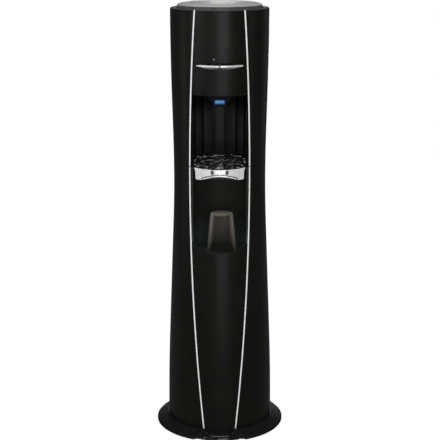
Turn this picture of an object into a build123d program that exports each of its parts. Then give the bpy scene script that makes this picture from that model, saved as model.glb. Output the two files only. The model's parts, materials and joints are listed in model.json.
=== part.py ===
"""Free-standing water dispenser: hourglass column, levers, alcove, drip tray, cup niche and cooling set."""
import os
from math import sqrt

from build123d import *

os.makedirs("parts", exist_ok=True)

# Column outline and walls
rim_height = 1100.0
rim_radius = 124.3
rim_run = 113.0
waist_radius = 117.7
waist_above_seam = 21.0
waist_below_seam = 87.0
foot_radius = 136.5
foot_run = 140.0
panel_wall = 3.0
joint_gap = 0.4
rear_half = 72.0
corner_shares = [0.75, 0.5, 0.48, 0.72]

# Levels, stacked from the seam between the two housings
upper_housing = 388.0
alcove_height = 180.0
tray_depth = 32.0
deck_thickness = 3.0
niche_height = 187.0
scoop_rise = 28.0
foot_height = 24.0
ring_lip = 4.0

# Silver trim lines on the front
trim_spread = 74.8
trim_below_seam = 32.0
trim_bow = 6400.0
trim_width = 4.5
trim_proud = 0.8
trim_depth = 2.0
trim_steps = 12

# Alcove, niche and tray
alcove_half = 66.5
alcove_middle = -28.0
niche_middle = -60.0
liner_wall = 2.5
rib_groove_width = 8.0
rib_groove_depth = 1.6
tray_clear = 1.0
tray_wall = 2.5
tray_lip = 5.0
tray_ledge = 3.0
tray_rear_rim = 42.0
tray_front_rim = 31.0
pocket_depth = 16.0
fascia_half = 64.5
fascia_tall = 28.0
fascia_proud = 1.2
arch_half = 43.0
arch_rise = 8.5
grille_thickness = 4.0
grille_level = 24.0
slot_pitch = 12.0
slot_width = 6.0

# Base
flange_reach = 31.5
flange_rim = 6.0
rest_gap = 4.0
notch_half = 67.0
toe_reach = 28.5
toe_half = 45.0
apron_thickness = 3.5
foot_pad_radius = 11.0

# Levers
lever_above_alcove = 74.0
lever_half_span = 57.0
lever_front = 134.0
lever_tip = 113.5
lever_root = 117.0
lever_middle_half = 3.8
lever_tip_half = 1.4
lever_gap = 2.0
pivot_y = -104.0
pin_radius = 2.0
pin_clear = 0.06
hub_radius = 4.5
hub_x = 26.0
hub_width = 12.0
tab_width = 2.4
tab_drop = 5.5

# Spout
hood_half = 32.0
hood_drop = 24.5
hood_front = 113.0
hood_length = 50.0
lens_width = 27.0
lens_height = 12.5
nozzle_x = 10.0
nozzle_y = -78.0
nozzle_radius = 6.0
nozzle_bore = 4.0

# Tanks
tank_y = 10.0
cold_radius = 80.0
foam_radius = 96.0
foam_bottom = 18.0
valve_room = 34.0
hot_y = 60.0
hot_radius = 34.0
hot_height = 130.0
hot_foam_radius = 47.0

# Top
collar_radius = 108.5
lid_radius = 99.3
lid_rise = 15.0
funnel_radius = 88.0

# Cup
cup_x = 5.0
cup_y = -62.0
cup_rim_radius = 38.0
cup_base_radius = 29.0
cup_tall = 95.0
cup_wall = 1.6

# Cooling set
compressor_y = 12.0
compressor_radius = 58.0
compressor_tall = 130.0
condenser_y = 92.0
condenser_half = 58.0
condenser_low = 230.0
condenser_pitch = 60.0
condenser_clear = 30.0
louvre_pitch = 24.0
louvre_margin = 15.0
condenser_tube = 2.5
suction_x = 74.0
suction_y = 74.0
capillary_x = 66.0
capillary_y = 60.0
hot_tube_y = 72.0
board_wide = 86.0
board_tall = 110.0
board_below_niche = 160.0

# Levels and radii worked out from the sizes above
seam_height = rim_height - upper_housing
alcove_top = seam_height + alcove_height
deck_top = seam_height - tray_depth
niche_top = deck_top - deck_thickness
niche_floor = niche_top - niche_height
shell_top = rim_height - ring_lip
lever_height = alcove_top + lever_above_alcove
tank_deck_low = alcove_top + 8.0
tank_deck_top = tank_deck_low + 2.0
foam_low = tank_deck_top + valve_room
cold_low = foam_low + foam_bottom + 1.0
cold_high = rim_height - 48.0
pan_top = foot_height - 10.5
hot_low = niche_top - 26 - hot_height
jacket_low = hot_low - 12
flange_radius = foot_radius + flange_reach
toe_radius = foot_radius + toe_reach
condenser_turns = int((jacket_low - condenser_clear - condenser_low) / (2 * condenser_pitch))
condenser_runs = 2 * condenser_turns + 1
condenser_high = condenser_low + (condenser_runs - 1) * condenser_pitch
trim_spread_height = seam_height - trim_below_seam
reach = 260.0


def column_points(inset):
    """Corners of the column outline, moved inwards by inset, from the floor to above the rim."""
    return [
        Vector(foot_radius - inset, 0),
        Vector(foot_radius - inset, foot_run),
        Vector(waist_radius - inset, seam_height - waist_below_seam),
        Vector(waist_radius - inset, seam_height + waist_above_seam),
        Vector(rim_radius - inset, rim_height - rim_run),
        Vector(rim_radius - inset, rim_height + 40),
    ]


def soft_corner(before, corner, after, share):
    """Five points that ease one run of the outline into the next."""
    run_in = corner - before
    run_out = after - corner
    ease = share * min(run_in.length, run_out.length)
    start = corner - run_in.normalized() * ease
    end = corner + run_out.normalized() * ease
    points = []
    for step in (0, 0.25, 0.5, 0.75, 1):
        points.append(start * (1 - step) ** 2 + corner * (2 * step * (1 - step)) + end * step**2)
    return points


def column_core(inset, low, high):
    """Solid of the column outline moved inwards by inset, between two heights."""
    corners = column_points(inset)
    outline = [corners[0]]
    for share, before, corner, after in zip(corner_shares, corners, corners[1:], corners[2:]):
        outline.extend(soft_corner(before, corner, after, share))
    with BuildPart() as core:
        with BuildSketch(Plane.XZ):
            with BuildLine():
                Polyline((0, 0), *outline, corners[-1], (0, corners[-1].Y), close=True)
            make_face()
        revolve(axis=Axis.Z)
        split(bisect_by=Plane.XY.offset(low), keep=Keep.TOP)
        split(bisect_by=Plane.XY.offset(high), keep=Keep.BOTTOM)
    return core.part


def column_shell(outset, depth, low, high):
    """Wall of the column from outset outside its outline to depth inside it."""
    with BuildPart() as shell:
        add(column_core(-outset, low, high))
        add(column_core(depth, low - 1, high + 1), mode=Mode.SUBTRACT)
    return shell.part


def trim_x(height):
    """Half spacing of the trim lines at a height."""
    rise = height - trim_spread_height
    return trim_spread - (trim_bow - sqrt(trim_bow**2 - rise**2))


def front_zone(inset):
    """Block in front of the axis between the two trim lines, each moved inwards by inset."""
    low = -20.0
    high = rim_height + 40.0
    right = []
    left = []
    for step in range(trim_steps + 1):
        height = low + (high - low) * step / trim_steps
        right.append((trim_x(height) - inset, height))
        left.insert(0, (inset - trim_x(height), height))
    with BuildPart() as zone:
        with BuildSketch(Plane.XZ):
            with BuildLine():
                Polyline(*right, *left, close=True)
            make_face()
        extrude(amount=reach)
    return zone.part


def column_radius(height):
    """Outer radius of the column at a height."""
    return column_core(0, height - 0.05, height + 0.05).bounding_box().max.X


def rear_plane(x, height):
    """Plane that touches the back of the column at x and faces straight out."""
    radius = column_radius(height)
    out = Vector(x, sqrt(radius**2 - x**2), 0)
    return Plane(origin=out + Vector(0, 0, height), z_dir=out)


def niche_block(half_width, middle, low, high):
    """Upright block with a half-round back and straight sides, running out to the front."""
    with BuildPart() as block:
        with BuildSketch(Plane.XY.offset(low)):
            with Locations((0, middle)):
                Circle(half_width)
            with Locations((0, middle - reach / 2)):
                Rectangle(2 * half_width, reach)
        extrude(amount=high - low)
    return block.part


def tube(points, radius, bend):
    """Round tube along straight runs with bent corners."""
    with BuildPart() as pipe:
        with BuildLine() as route:
            FilletPolyline(*points, radius=bend)
        with BuildSketch(Plane(origin=route.line @ 0, z_dir=route.line % 0)):
            Circle(radius)
        sweep(path=route.line)
    return pipe.part


def save(piece, name):
    """Label a finished piece and write it to its own file."""
    piece.label = name
    export_step(piece, f"parts/{name}.step")


# Zones shared by the panels
panel_inset = trim_width / 2 + joint_gap
inner_front = front_zone(panel_inset)
outer_front = front_zone(-panel_inset)

# Base flange: dished ring with a locating spigot and a shelf for the pan
dish_foot = foot_radius + joint_gap


def front_notch(inset, outer_radius):
    """Plan of the notch in the front of the flange, with its sides moved inwards by inset."""
    wide = notch_half - inset
    with BuildSketch(Plane.XY) as notch:
        with BuildLine():
            Polyline(
                (24 - wide, 16 - foot_radius),
                (-wide, -foot_radius - 9),
                (5 - wide, -flange_radius - 20),
                (wide - 5, -flange_radius - 20),
                (wide, -foot_radius - 9),
                (wide - 24, 16 - foot_radius),
                close=True,
            )
        make_face()
        Circle(dish_foot + inset / 2, mode=Mode.SUBTRACT)
        Circle(outer_radius, mode=Mode.INTERSECT)
    return notch.sketch


with BuildPart() as base_flange:
    with BuildSketch(Plane.XZ):
        with BuildLine():
            Polyline(
                (foot_radius - 24.5, foot_height - 16),
                (foot_radius - 24.5, foot_height - 12),
                (foot_radius - 8.5, foot_height - 12),
                (foot_radius - 8.5, foot_height + 20),
                (foot_radius - panel_wall - 0.7, foot_height + 20),
                (foot_radius - panel_wall - 0.7, foot_height - joint_gap),
                (foot_radius + 3, foot_height - joint_gap),
                (flange_radius - 3, rest_gap + flange_rim + 1),
                (flange_radius, rest_gap + flange_rim - 2),
                (flange_radius, rest_gap),
                (flange_radius - 4, rest_gap),
                (foot_radius + 2, foot_height - 6),
                (foot_radius - 4.5, foot_height - 6),
                (foot_radius - 4.5, foot_height - 16),
                close=True,
            )
        make_face()
    revolve(axis=Axis.Z)
    extrude(front_notch(0, reach), amount=foot_height + 40, mode=Mode.SUBTRACT)
save(base_flange.part, "base_flange")

# Toe lip: glossy front piece in the notch of the flange, on a low apron that closes the notch
with BuildPart() as toe_lip:
    with BuildSketch(Plane.XZ):
        with BuildLine():
            Polyline(
                (dish_foot + joint_gap, foot_height - joint_gap),
                (foot_radius + 6, foot_height - 2),
                (toe_radius - 3, rest_gap + flange_rim),
                (toe_radius, rest_gap + flange_rim - 3),
                (toe_radius, rest_gap),
                (toe_radius - 4, rest_gap),
                (dish_foot + joint_gap, foot_height - 8),
                close=True,
            )
        make_face()
    revolve(axis=Axis.Z)
    with BuildSketch(Plane.XY):
        with BuildLine():
            ThreePointArc((-toe_half, 15 - toe_radius), (0, -toe_radius), (toe_half, 15 - toe_radius))
            Polyline(
                (toe_half, 15 - toe_radius),
                (toe_half - 11, -120),
                (11 - toe_half, -120),
                (-toe_half, 15 - toe_radius),
            )
        make_face()
    extrude(amount=foot_height + 40, mode=Mode.INTERSECT)
    apron = front_notch(2 * joint_gap, toe_radius - 9.5)
    extrude(apron.moved(Pos(0, 0, rest_gap)), amount=apron_thickness)
save(toe_lip.part, "toe_lip")

# Base pan: steel disc on the flange shelf, pierced under the compressor mounts
with BuildPart() as base_pan:
    with Locations((0, 0, pan_top - 1.5)):
        Cylinder(foot_radius - 9.2, 1.5, align=(Align.CENTER, Align.CENTER, Align.MIN))
save(base_pan.part, "base_pan")

# Rubber feet under the flange shelf
with BuildPart() as rubber_feet:
    with PolarLocations(foot_radius - 16.5, 4, start_angle=45):
        Cylinder(foot_pad_radius, foot_height - 16, align=(Align.CENTER, Align.CENTER, Align.MIN))
    fillet(rubber_feet.edges().group_by(Axis.Z)[0], 1.5)
save(rubber_feet.part, "rubber_feet")

# Places of the rear panel screws, facing straight out of the column
screw_radius = 1.8
screw_spots = []
for screw_height in (foot_height + 40, seam_height / 2, niche_top - 30):
    for side in (-1, 1):
        screw_spots.append(rear_plane(side * (rear_half - 9), screw_height))

# Lower housing
lower_high = seam_height - joint_gap / 2
lower_shell = column_shell(0, panel_wall, foot_height, lower_high)

rail_inner = rear_half - 18.0
rail_outer = rear_half + 8.0
rail_depth = panel_wall + 2.9
rail_low = foot_height + 22.0
rail_high = niche_top - 4.0
with BuildPart() as inside_walls:
    add(column_core(panel_wall, foot_height - 1, lower_high + 1))
    with Locations((0, reach / 2, (rail_low + rail_high) / 2)):
        Box(2 * rail_outer, reach, rail_high - rail_low, mode=Mode.SUBTRACT)
with BuildPart() as rear_pocket:
    with Locations((0, reach / 2, lower_high / 2)):
        Box(2 * rear_half + 2 * joint_gap, reach, lower_high + 80)
    add(column_core(panel_wall + joint_gap, 0, lower_high + 30), mode=Mode.SUBTRACT)
with BuildPart() as lower_sides:
    add(column_shell(0, rail_depth, foot_height, lower_high))
    add(outer_front, mode=Mode.SUBTRACT)
    add(inside_walls.part, mode=Mode.SUBTRACT)
    add(rear_pocket.part, mode=Mode.SUBTRACT)
    with Locations((0, reach / 2, lower_high / 2)):
        Box(2 * rail_inner, reach, lower_high + 80, mode=Mode.SUBTRACT)
    for spot in screw_spots:
        with Locations(spot.location):
            Cylinder(screw_radius + 0.05, 40, mode=Mode.SUBTRACT)
with BuildPart() as lower_left_panel:
    add(lower_sides.part)
    with Locations((-reach / 2, 0, lower_high / 2)):
        Box(reach, 2 * reach, lower_high + 80, mode=Mode.INTERSECT)
save(lower_left_panel.part, "lower_left_panel")
with BuildPart() as lower_right_panel:
    add(lower_sides.part)
    with Locations((reach / 2, 0, lower_high / 2)):
        Box(reach, 2 * reach, lower_high + 80, mode=Mode.INTERSECT)
save(lower_right_panel.part, "lower_right_panel")

# Rear panel: louvred cover with cut-outs for the inlet, the switches and the drain
inlet_height = 125.0
switch_height = 172.0
drain_height = 78.0
louvre_low = condenser_low + louvre_margin
louvre_count = int((condenser_high - louvre_low) / louvre_pitch) + 1
with BuildPart() as rear_panel:
    add(lower_shell)
    with Locations((0, reach / 2, lower_high / 2)):
        Box(2 * rear_half, reach, lower_high + 80, mode=Mode.INTERSECT)
    with BuildSketch(Plane.XZ):
        for row in range(louvre_count):
            with Locations((0, louvre_low + row * louvre_pitch)):
                SlotOverall(96, 7)
        with Locations((0, inlet_height)):
            Rectangle(28, 20)
        with Locations((0, switch_height)):
            Rectangle(54, 24)
        with Locations((0, drain_height)):
            Circle(8)
    extrude(amount=-reach, mode=Mode.SUBTRACT)
    for spot in screw_spots:
        with Locations(spot.location):
            Cylinder(screw_radius + 0.3, 40, mode=Mode.SUBTRACT)
save(rear_panel.part, "rear_panel")

# Screws that hold the rear panel to the rails of the side panels
with BuildPart() as panel_screws:
    for spot in screw_spots:
        with Locations(spot.offset(0.3).location):
            Cylinder(4, 2, align=(Align.CENTER, Align.CENTER, Align.MIN))
            Cylinder(screw_radius, 10, align=(Align.CENTER, Align.CENTER, Align.MAX))
        with Locations(spot.offset(1.5).location):
            Box(4.6, 1, 1.6, align=(Align.CENTER, Align.CENTER, Align.MIN), mode=Mode.SUBTRACT)
            Box(1, 4.6, 1.6, align=(Align.CENTER, Align.CENTER, Align.MIN), mode=Mode.SUBTRACT)
save(panel_screws.part, "panel_screws")

# Lower front panel with the scooped upper edge and posts for the control board
scoop_high = niche_floor + scoop_rise
board_y = -100.0
board_low = niche_floor - board_below_niche
post_inset = 8.0
with BuildPart() as board_posts:
    for post_height in (board_low + post_inset, board_low + board_tall - post_inset):
        for side in (-1, 1):
            post_x = side * (board_wide / 2 - post_inset + 1)
            with Locations(Plane.XZ.offset(-board_y).location * Pos(post_x, post_height, 0)):
                Cylinder(4, 60, align=(Align.CENTER, Align.CENTER, Align.MIN))
    add(column_core(1.0, board_low - 20, board_low + board_tall + 30), mode=Mode.INTERSECT)
with BuildPart() as lower_front_panel:
    add(lower_shell)
    add(inner_front, mode=Mode.INTERSECT)
    with Locations((0, 0, scoop_high)):
        Box(
            2 * reach,
            2 * reach,
            4 * reach,
            align=(Align.CENTER, Align.CENTER, Align.MAX),
            mode=Mode.INTERSECT,
        )
    with BuildSketch(Plane.XZ):
        with BuildLine():
            ThreePointArc((-alcove_half, scoop_high), (0, niche_floor + 3), (alcove_half, scoop_high))
            Polyline(
                (alcove_half, scoop_high),
                (alcove_half, scoop_high + 20),
                (-alcove_half, scoop_high + 20),
                (-alcove_half, scoop_high),
            )
        make_face()
    extrude(amount=reach, mode=Mode.SUBTRACT)
    add(board_posts.part)
save(lower_front_panel.part, "lower_front_panel")

# Control board on the posts of the front panel
with BuildPart() as control_board:
    with Locations((0, board_y + 0.2, board_low + board_tall / 2)):
        Box(board_wide, 1.6, board_tall, align=(Align.CENTER, Align.MIN, Align.CENTER))
    board_face = board_y + 1.8
    board_high = board_low + board_tall
    with Locations((-board_wide / 5, board_face, board_high - 28)):
        Box(34, 26, 30, align=(Align.CENTER, Align.MIN, Align.CENTER))
    relay_x = board_wide / 4
    with Locations((relay_x, board_face, board_high - 24), (relay_x, board_face, board_high - 46)):
        Box(20, 15, 16, align=(Align.CENTER, Align.MIN, Align.CENTER))
    with Locations((0, board_face, board_low + 22)):
        Box(board_wide - 26, 11, 10, align=(Align.CENTER, Align.MIN, Align.CENTER))
save(control_board.part, "control_board")

# Cup niche: smooth half-round recess with a floor and two slim front strips
niche_high = niche_top - joint_gap
with BuildPart() as niche_strips:
    add(column_shell(0, panel_wall + 1, scoop_high + joint_gap, lower_high))
    add(inner_front, mode=Mode.INTERSECT)
with BuildPart() as cup_niche:
    add(niche_block(alcove_half + liner_wall, niche_middle, niche_floor - liner_wall, niche_high))
    add(column_core(panel_wall + joint_gap, niche_floor - 20, niche_high + 20), mode=Mode.INTERSECT)
    add(niche_strips.part)
    add(niche_block(alcove_half, niche_middle, niche_floor, lower_high + 10), mode=Mode.SUBTRACT)
save(cup_niche.part, "cup_niche")

# Cup: tumbler standing upside-down on the niche floor
cup_low = niche_floor + 0.3
with BuildPart() as cup:
    with BuildSketch(Plane.XZ):
        with BuildLine():
            Polyline(
                (0, cup_low + cup_tall),
                (cup_base_radius - 2, cup_low + cup_tall),
                (cup_base_radius, cup_low + cup_tall - 2),
                (cup_rim_radius - 0.6, cup_low + 3),
                (cup_rim_radius, cup_low + 2.4),
                (cup_rim_radius, cup_low + 0.6),
                (cup_rim_radius - 0.6, cup_low),
                (cup_rim_radius - cup_wall, cup_low),
                (cup_base_radius - cup_wall, cup_low + cup_tall - 3),
                (0, cup_low + cup_tall - 3),
                close=True,
            )
        make_face()
    revolve(axis=Axis.Z)
cup_piece = cup.part.moved(Location((cup_x, cup_y, 0)))
save(cup_piece, "cup")

# Middle deck: shelf between niche and alcove, open at the front for fingers and at the back for the hot tank
strip_clear = panel_wall + 1.4
with BuildPart() as mid_deck:
    add(column_core(strip_clear, niche_top, deck_top))
    with BuildSketch(Plane.XY.offset(niche_top - 5)):
        with Locations((0, -reach / 2 - 84)):
            Rectangle(2 * arch_half + 10, reach)
        with Locations((0, hot_y + 2 + reach / 2)):
            Rectangle(64, reach)
        with Locations((suction_x, suction_y)):
            Circle(6)
        with Locations((capillary_x, capillary_y)):
            Circle(4)
    extrude(amount=deck_thickness + 10, mode=Mode.SUBTRACT)
save(mid_deck.part, "mid_deck")

# Drip tray: basin with a ledge for the grille, a rim that rises to the back and a finger pocket at the front
tray_low = deck_top + 0.3
tray_front = waist_radius - 2.9
tray_half = alcove_half - tray_clear
tray_back_y = alcove_middle + tray_half
pocket_y = pocket_depth - tray_front
rim_slope = Vector(0, tray_back_y + tray_front, tray_rear_rim - tray_front_rim)
basin_half = tray_half - tray_lip
basin_front = pocket_y + tray_wall
grille_low = tray_low + grille_level
with BuildPart() as basin:
    add(niche_block(basin_half - tray_ledge, alcove_middle, tray_low + tray_wall, grille_low))
    with Locations((0, basin_front + tray_ledge, tray_low)):
        Box(reach, reach, 300, align=(Align.CENTER, Align.MIN, Align.CENTER), mode=Mode.INTERSECT)
with BuildPart() as grille_seat:
    add(niche_block(basin_half, alcove_middle, grille_low - 0.2, deck_top + tray_rear_rim + 10))
    with Locations((0, basin_front, tray_low)):
        Box(reach, reach, 300, align=(Align.CENTER, Align.MIN, Align.CENTER), mode=Mode.INTERSECT)
with BuildPart() as drip_tray:
    add(niche_block(tray_half, alcove_middle, tray_low, deck_top + tray_rear_rim + 5))
    with Locations((0, 0, tray_low)):
        Cylinder(tray_front, 200, mode=Mode.INTERSECT)
    add(basin.part, mode=Mode.SUBTRACT)
    add(grille_seat.part, mode=Mode.SUBTRACT)
    with Locations((0, pocket_y, deck_top + tray_front_rim - 4)):
        Box(2 * arch_half + 8, 60, 100, align=(Align.CENTER, Align.MAX, Align.MAX), mode=Mode.SUBTRACT)
    rim_plane = Plane(
        origin=(0, -tray_front, deck_top + tray_front_rim),
        x_dir=(1, 0, 0),
        z_dir=Vector(1, 0, 0).cross(rim_slope),
    )
    split(bisect_by=rim_plane, keep=Keep.BOTTOM)
save(drip_tray.part, "drip_tray")

# Tray fascia: silver front plate with an arched lower edge, a bead along the arch and a plain pad
fascia_low = deck_top + 2.5
fascia_high = fascia_low + fascia_tall
bead_width = 4.0


def fascia_arch(rise):
    """Outline of the arch in the front view, lifted by rise."""
    with BuildSketch(Plane.XZ) as arch:
        with BuildLine():
            ThreePointArc(
                (-arch_half - rise, fascia_low),
                (0, fascia_low + arch_rise + rise),
                (arch_half + rise, fascia_low),
            )
            Line((-arch_half - rise, fascia_low), (arch_half + rise, fascia_low))
        make_face()
    return arch.sketch


with BuildPart() as fascia_bead:
    extrude(fascia_arch(bead_width), amount=reach)
    extrude(fascia_arch(0), amount=reach + 10, mode=Mode.SUBTRACT)
    with Locations((0, 0, fascia_low)):
        Cylinder(waist_radius + fascia_proud + 1.6, 200, mode=Mode.INTERSECT)
        Cylinder(waist_radius, 300, mode=Mode.SUBTRACT)
with BuildPart() as fascia_pad:
    with BuildSketch(Plane.XZ):
        with Locations((0, fascia_low + arch_rise + 12.5)):
            RectangleRounded(44, 11, 5)
    extrude(amount=reach)
    with Locations((0, 0, fascia_low)):
        Cylinder(waist_radius + fascia_proud + 1.0, 200, mode=Mode.INTERSECT)
        Cylinder(waist_radius, 300, mode=Mode.SUBTRACT)
with BuildPart() as tray_fascia:
    with BuildSketch(Plane.XY.offset(fascia_low)):
        Circle(waist_radius + fascia_proud)
        Circle(waist_radius - 2.6, mode=Mode.SUBTRACT)
    extrude(amount=fascia_tall)
    with BuildSketch(Plane.XZ):
        with Locations((0, fascia_low + fascia_tall / 2)):
            RectangleRounded(2 * fascia_half, fascia_tall, 4)
    extrude(amount=reach, mode=Mode.INTERSECT)
    extrude(fascia_arch(0), amount=reach, mode=Mode.SUBTRACT)
    add(fascia_bead.part)
    add(fascia_pad.part)
save(tray_fascia.part, "tray_fascia")

# Drip grille: slotted plate on the ledge of the basin
grille_clear = 0.8
grille_half = basin_half - grille_clear
with BuildPart() as drip_grille:
    add(niche_block(grille_half, alcove_middle, grille_low, grille_low + grille_thickness))
    with Locations((0, basin_front + grille_clear, grille_low)):
        Box(reach, reach, 200, align=(Align.CENTER, Align.MIN, Align.CENTER), mode=Mode.INTERSECT)
    with BuildSketch(Plane.XY.offset(grille_low)):
        for row in range(-3, 6):
            slot_y = alcove_middle - row * slot_pitch
            slot_reach = grille_half - 9
            if row < 0:
                slot_reach = sqrt((grille_half - 6) ** 2 - (row * slot_pitch) ** 2)
            for side in (-1, 1):
                with Locations((side * (slot_reach + 5) / 2, slot_y)):
                    SlotOverall(slot_reach - 5, slot_width)
    extrude(amount=grille_thickness, mode=Mode.SUBTRACT)
save(drip_grille.part, "drip_grille")

# Upper housing
upper_low = seam_height + joint_gap / 2
upper_wall = column_shell(0, panel_wall, upper_low, shell_top)
with BuildPart() as upper_shell:
    add(upper_wall)
    add(outer_front, mode=Mode.SUBTRACT)
save(upper_shell.part, "upper_shell")

# Upper front panel with the lever slot and the lamp hole
lamp_x = -14.0
lamp_height = lever_height + 16.0
lamp_radius = 2.4
with BuildPart() as upper_front_panel:
    add(upper_wall)
    add(inner_front, mode=Mode.INTERSECT)
    with Locations((0, 0, alcove_top + joint_gap)):
        Box(
            2 * reach,
            2 * reach,
            4 * reach,
            align=(Align.CENTER, Align.CENTER, Align.MIN),
            mode=Mode.INTERSECT,
        )
    with BuildSketch(Plane.XZ):
        with BuildLine():
            slot_end = lever_half_span + 1.5
            slot_up = lever_height + lever_middle_half + 1.2
            slot_down = lever_height - lever_middle_half - 5.2
            tip_up = lever_height + lever_tip_half + 1.2
            tip_down = lever_height - lever_tip_half - 3.0
            ThreePointArc((-slot_end, tip_up), (0, slot_up), (slot_end, tip_up))
            Line((slot_end, tip_up), (slot_end, tip_down))
            ThreePointArc((slot_end, tip_down), (0, slot_down), (-slot_end, tip_down))
            Line((-slot_end, tip_down), (-slot_end, tip_up))
        make_face()
        with Locations((lamp_x, lamp_height)):
            Circle(lamp_radius + 0.2)
    extrude(amount=reach, mode=Mode.SUBTRACT)
save(upper_front_panel.part, "upper_front_panel")

# Indicator lens in the lamp hole
lamp_front = column_radius(lamp_height) + 0.8
with BuildPart() as indicator_lens:
    with Locations(Plane.XZ.offset(lamp_front).location * Pos(lamp_x, lamp_height, 0)):
        Cylinder(lamp_radius, 9, align=(Align.CENTER, Align.CENTER, Align.MAX))
    fillet(indicator_lens.edges().group_by(Axis.Y)[0], 1.0)
save(indicator_lens.part, "indicator_lens")


def trim_strip(side, low, high):
    """Silver strip that follows one trim line between two heights."""
    with BuildPart() as strip:
        add(column_shell(trim_proud, trim_depth, low, high))
        add(front_zone(-trim_width / 2), mode=Mode.INTERSECT)
        add(front_zone(trim_width / 2), mode=Mode.SUBTRACT)
        with Locations((side * reach / 2, 0, (low + high) / 2)):
            Box(reach, 2 * reach, 4 * reach, mode=Mode.INTERSECT)
    return strip.part


left_lower_trim = trim_strip(-1, foot_height, lower_high)
save(left_lower_trim, "left_lower_trim")
right_lower_trim = trim_strip(1, foot_height, lower_high)
save(right_lower_trim, "right_lower_trim")
trim_high = rim_height - 0.6
left_upper_trim = trim_strip(-1, upper_low, trim_high)
save(left_upper_trim, "left_upper_trim")
right_upper_trim = trim_strip(1, upper_low, trim_high)
save(right_upper_trim, "right_upper_trim")

# Alcove liner: half-round recess with upright ribs, a ceiling, two slim front strips and walls round the tray
with BuildPart() as alcove_strips:
    add(column_shell(0, panel_wall + 1, upper_low, alcove_top))
    add(inner_front, mode=Mode.INTERSECT)
with BuildPart() as tray_walls:
    add(niche_block(alcove_half + liner_wall, alcove_middle, deck_top + 0.2, upper_low))
    add(column_core(strip_clear, niche_top, upper_low + 10), mode=Mode.INTERSECT)
with BuildPart() as alcove_liner:
    add(niche_block(alcove_half + liner_wall, alcove_middle, upper_low, alcove_top + liner_wall))
    add(column_core(panel_wall + joint_gap, upper_low - 10, alcove_top + 20), mode=Mode.INTERSECT)
    add(alcove_strips.part)
    add(tray_walls.part)
    add(niche_block(alcove_half, alcove_middle, niche_top, alcove_top), mode=Mode.SUBTRACT)
    with BuildSketch(Plane.XY.offset(upper_low)):
        with Locations((0, alcove_middle)):
            with PolarLocations(alcove_half, 6, start_angle=22.5, angular_range=135, endpoint=True):
                Rectangle(2 * rib_groove_depth, rib_groove_width)
    extrude(amount=alcove_height, mode=Mode.SUBTRACT)
    with Locations((nozzle_x, nozzle_y, alcove_top), (-nozzle_x, nozzle_y, alcove_top)):
        Cylinder(nozzle_radius + 0.4, 40, mode=Mode.SUBTRACT)
save(alcove_liner.part, "alcove_liner")

# Spout hood under the alcove ceiling, with the pocket of the lit window
hood_low = alcove_top - hood_drop
lens_height_middle = hood_low + 3.0 + lens_height / 2
hood_plane = Plane.XZ.offset(hood_front)
with BuildPart() as spout_hood:
    with BuildSketch(hood_plane):
        with BuildLine():
            ThreePointArc((-hood_half, alcove_top - 0.1), (0, hood_low), (hood_half, alcove_top - 0.1))
            Line((-hood_half, alcove_top - 0.1), (hood_half, alcove_top - 0.1))
        make_face()
    extrude(amount=-hood_length)
    fillet(spout_hood.edges().group_by(Axis.Y)[0].sort_by(Axis.Z)[0], 4)
    with BuildSketch(hood_plane):
        with Locations((0, lens_height_middle)):
            RectangleRounded(lens_width + 0.4, lens_height + 0.4, 3.2)
    extrude(amount=-8, mode=Mode.SUBTRACT)
    with Locations((nozzle_x, nozzle_y, alcove_top), (-nozzle_x, nozzle_y, alcove_top)):
        Cylinder(nozzle_radius + 0.4, 4 * hood_drop, mode=Mode.SUBTRACT)
save(spout_hood.part, "spout_hood")

# Lit window of the hood
with BuildPart() as light_lens:
    with BuildSketch(hood_plane.offset(0.5)):
        with Locations((0, lens_height_middle)):
            RectangleRounded(lens_width, lens_height, 3)
    extrude(amount=-8.3)
    fillet(light_lens.edges().group_by(Axis.Y)[0], 1)
save(light_lens.part, "light_lens")


# Nozzles through the hood, the ceiling and the tank deck
nozzle_tall = tank_deck_top - 0.2 - hood_low + 8
with BuildPart() as nozzles:
    with Locations((nozzle_x, nozzle_y, hood_low - 8), (-nozzle_x, nozzle_y, hood_low - 8)):
        Cylinder(nozzle_radius, nozzle_tall, align=(Align.CENTER, Align.CENTER, Align.MIN))
        Cylinder(nozzle_bore, 3 * nozzle_tall, mode=Mode.SUBTRACT)
    lower_edges = nozzles.edges().group_by(Axis.Z)[0]
    chamfer(lower_edges.filter_by(lambda edge: edge.radius > nozzle_bore + 0.1), 1)
save(nozzles.part, "nozzles")

# Solenoid valves on the tank deck, outlet below and hose barb at the back
with BuildPart() as valves:
    for side in (-1, 1):
        valve_x = side * (nozzle_x + 4)
        with Locations((valve_x, nozzle_y + 6, tank_deck_top)):
            Box(24, 34, 15, align=(Align.CENTER, Align.CENTER, Align.MIN))
        with Locations((valve_x, nozzle_y + 6, tank_deck_top + 15)):
            Cylinder(10.5, 15, align=(Align.CENTER, Align.CENTER, Align.MIN))
        with Locations(Plane.XZ.location * Pos(valve_x, tank_deck_top + 8, -nozzle_y - 23)):
            Cylinder(4, 10, align=(Align.CENTER, Align.CENTER, Align.MAX))
        with Locations((side * nozzle_x, nozzle_y, tank_deck_top)):
            Cylinder(nozzle_bore, 12, mode=Mode.SUBTRACT)
save(valves.part, "valves")


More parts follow.
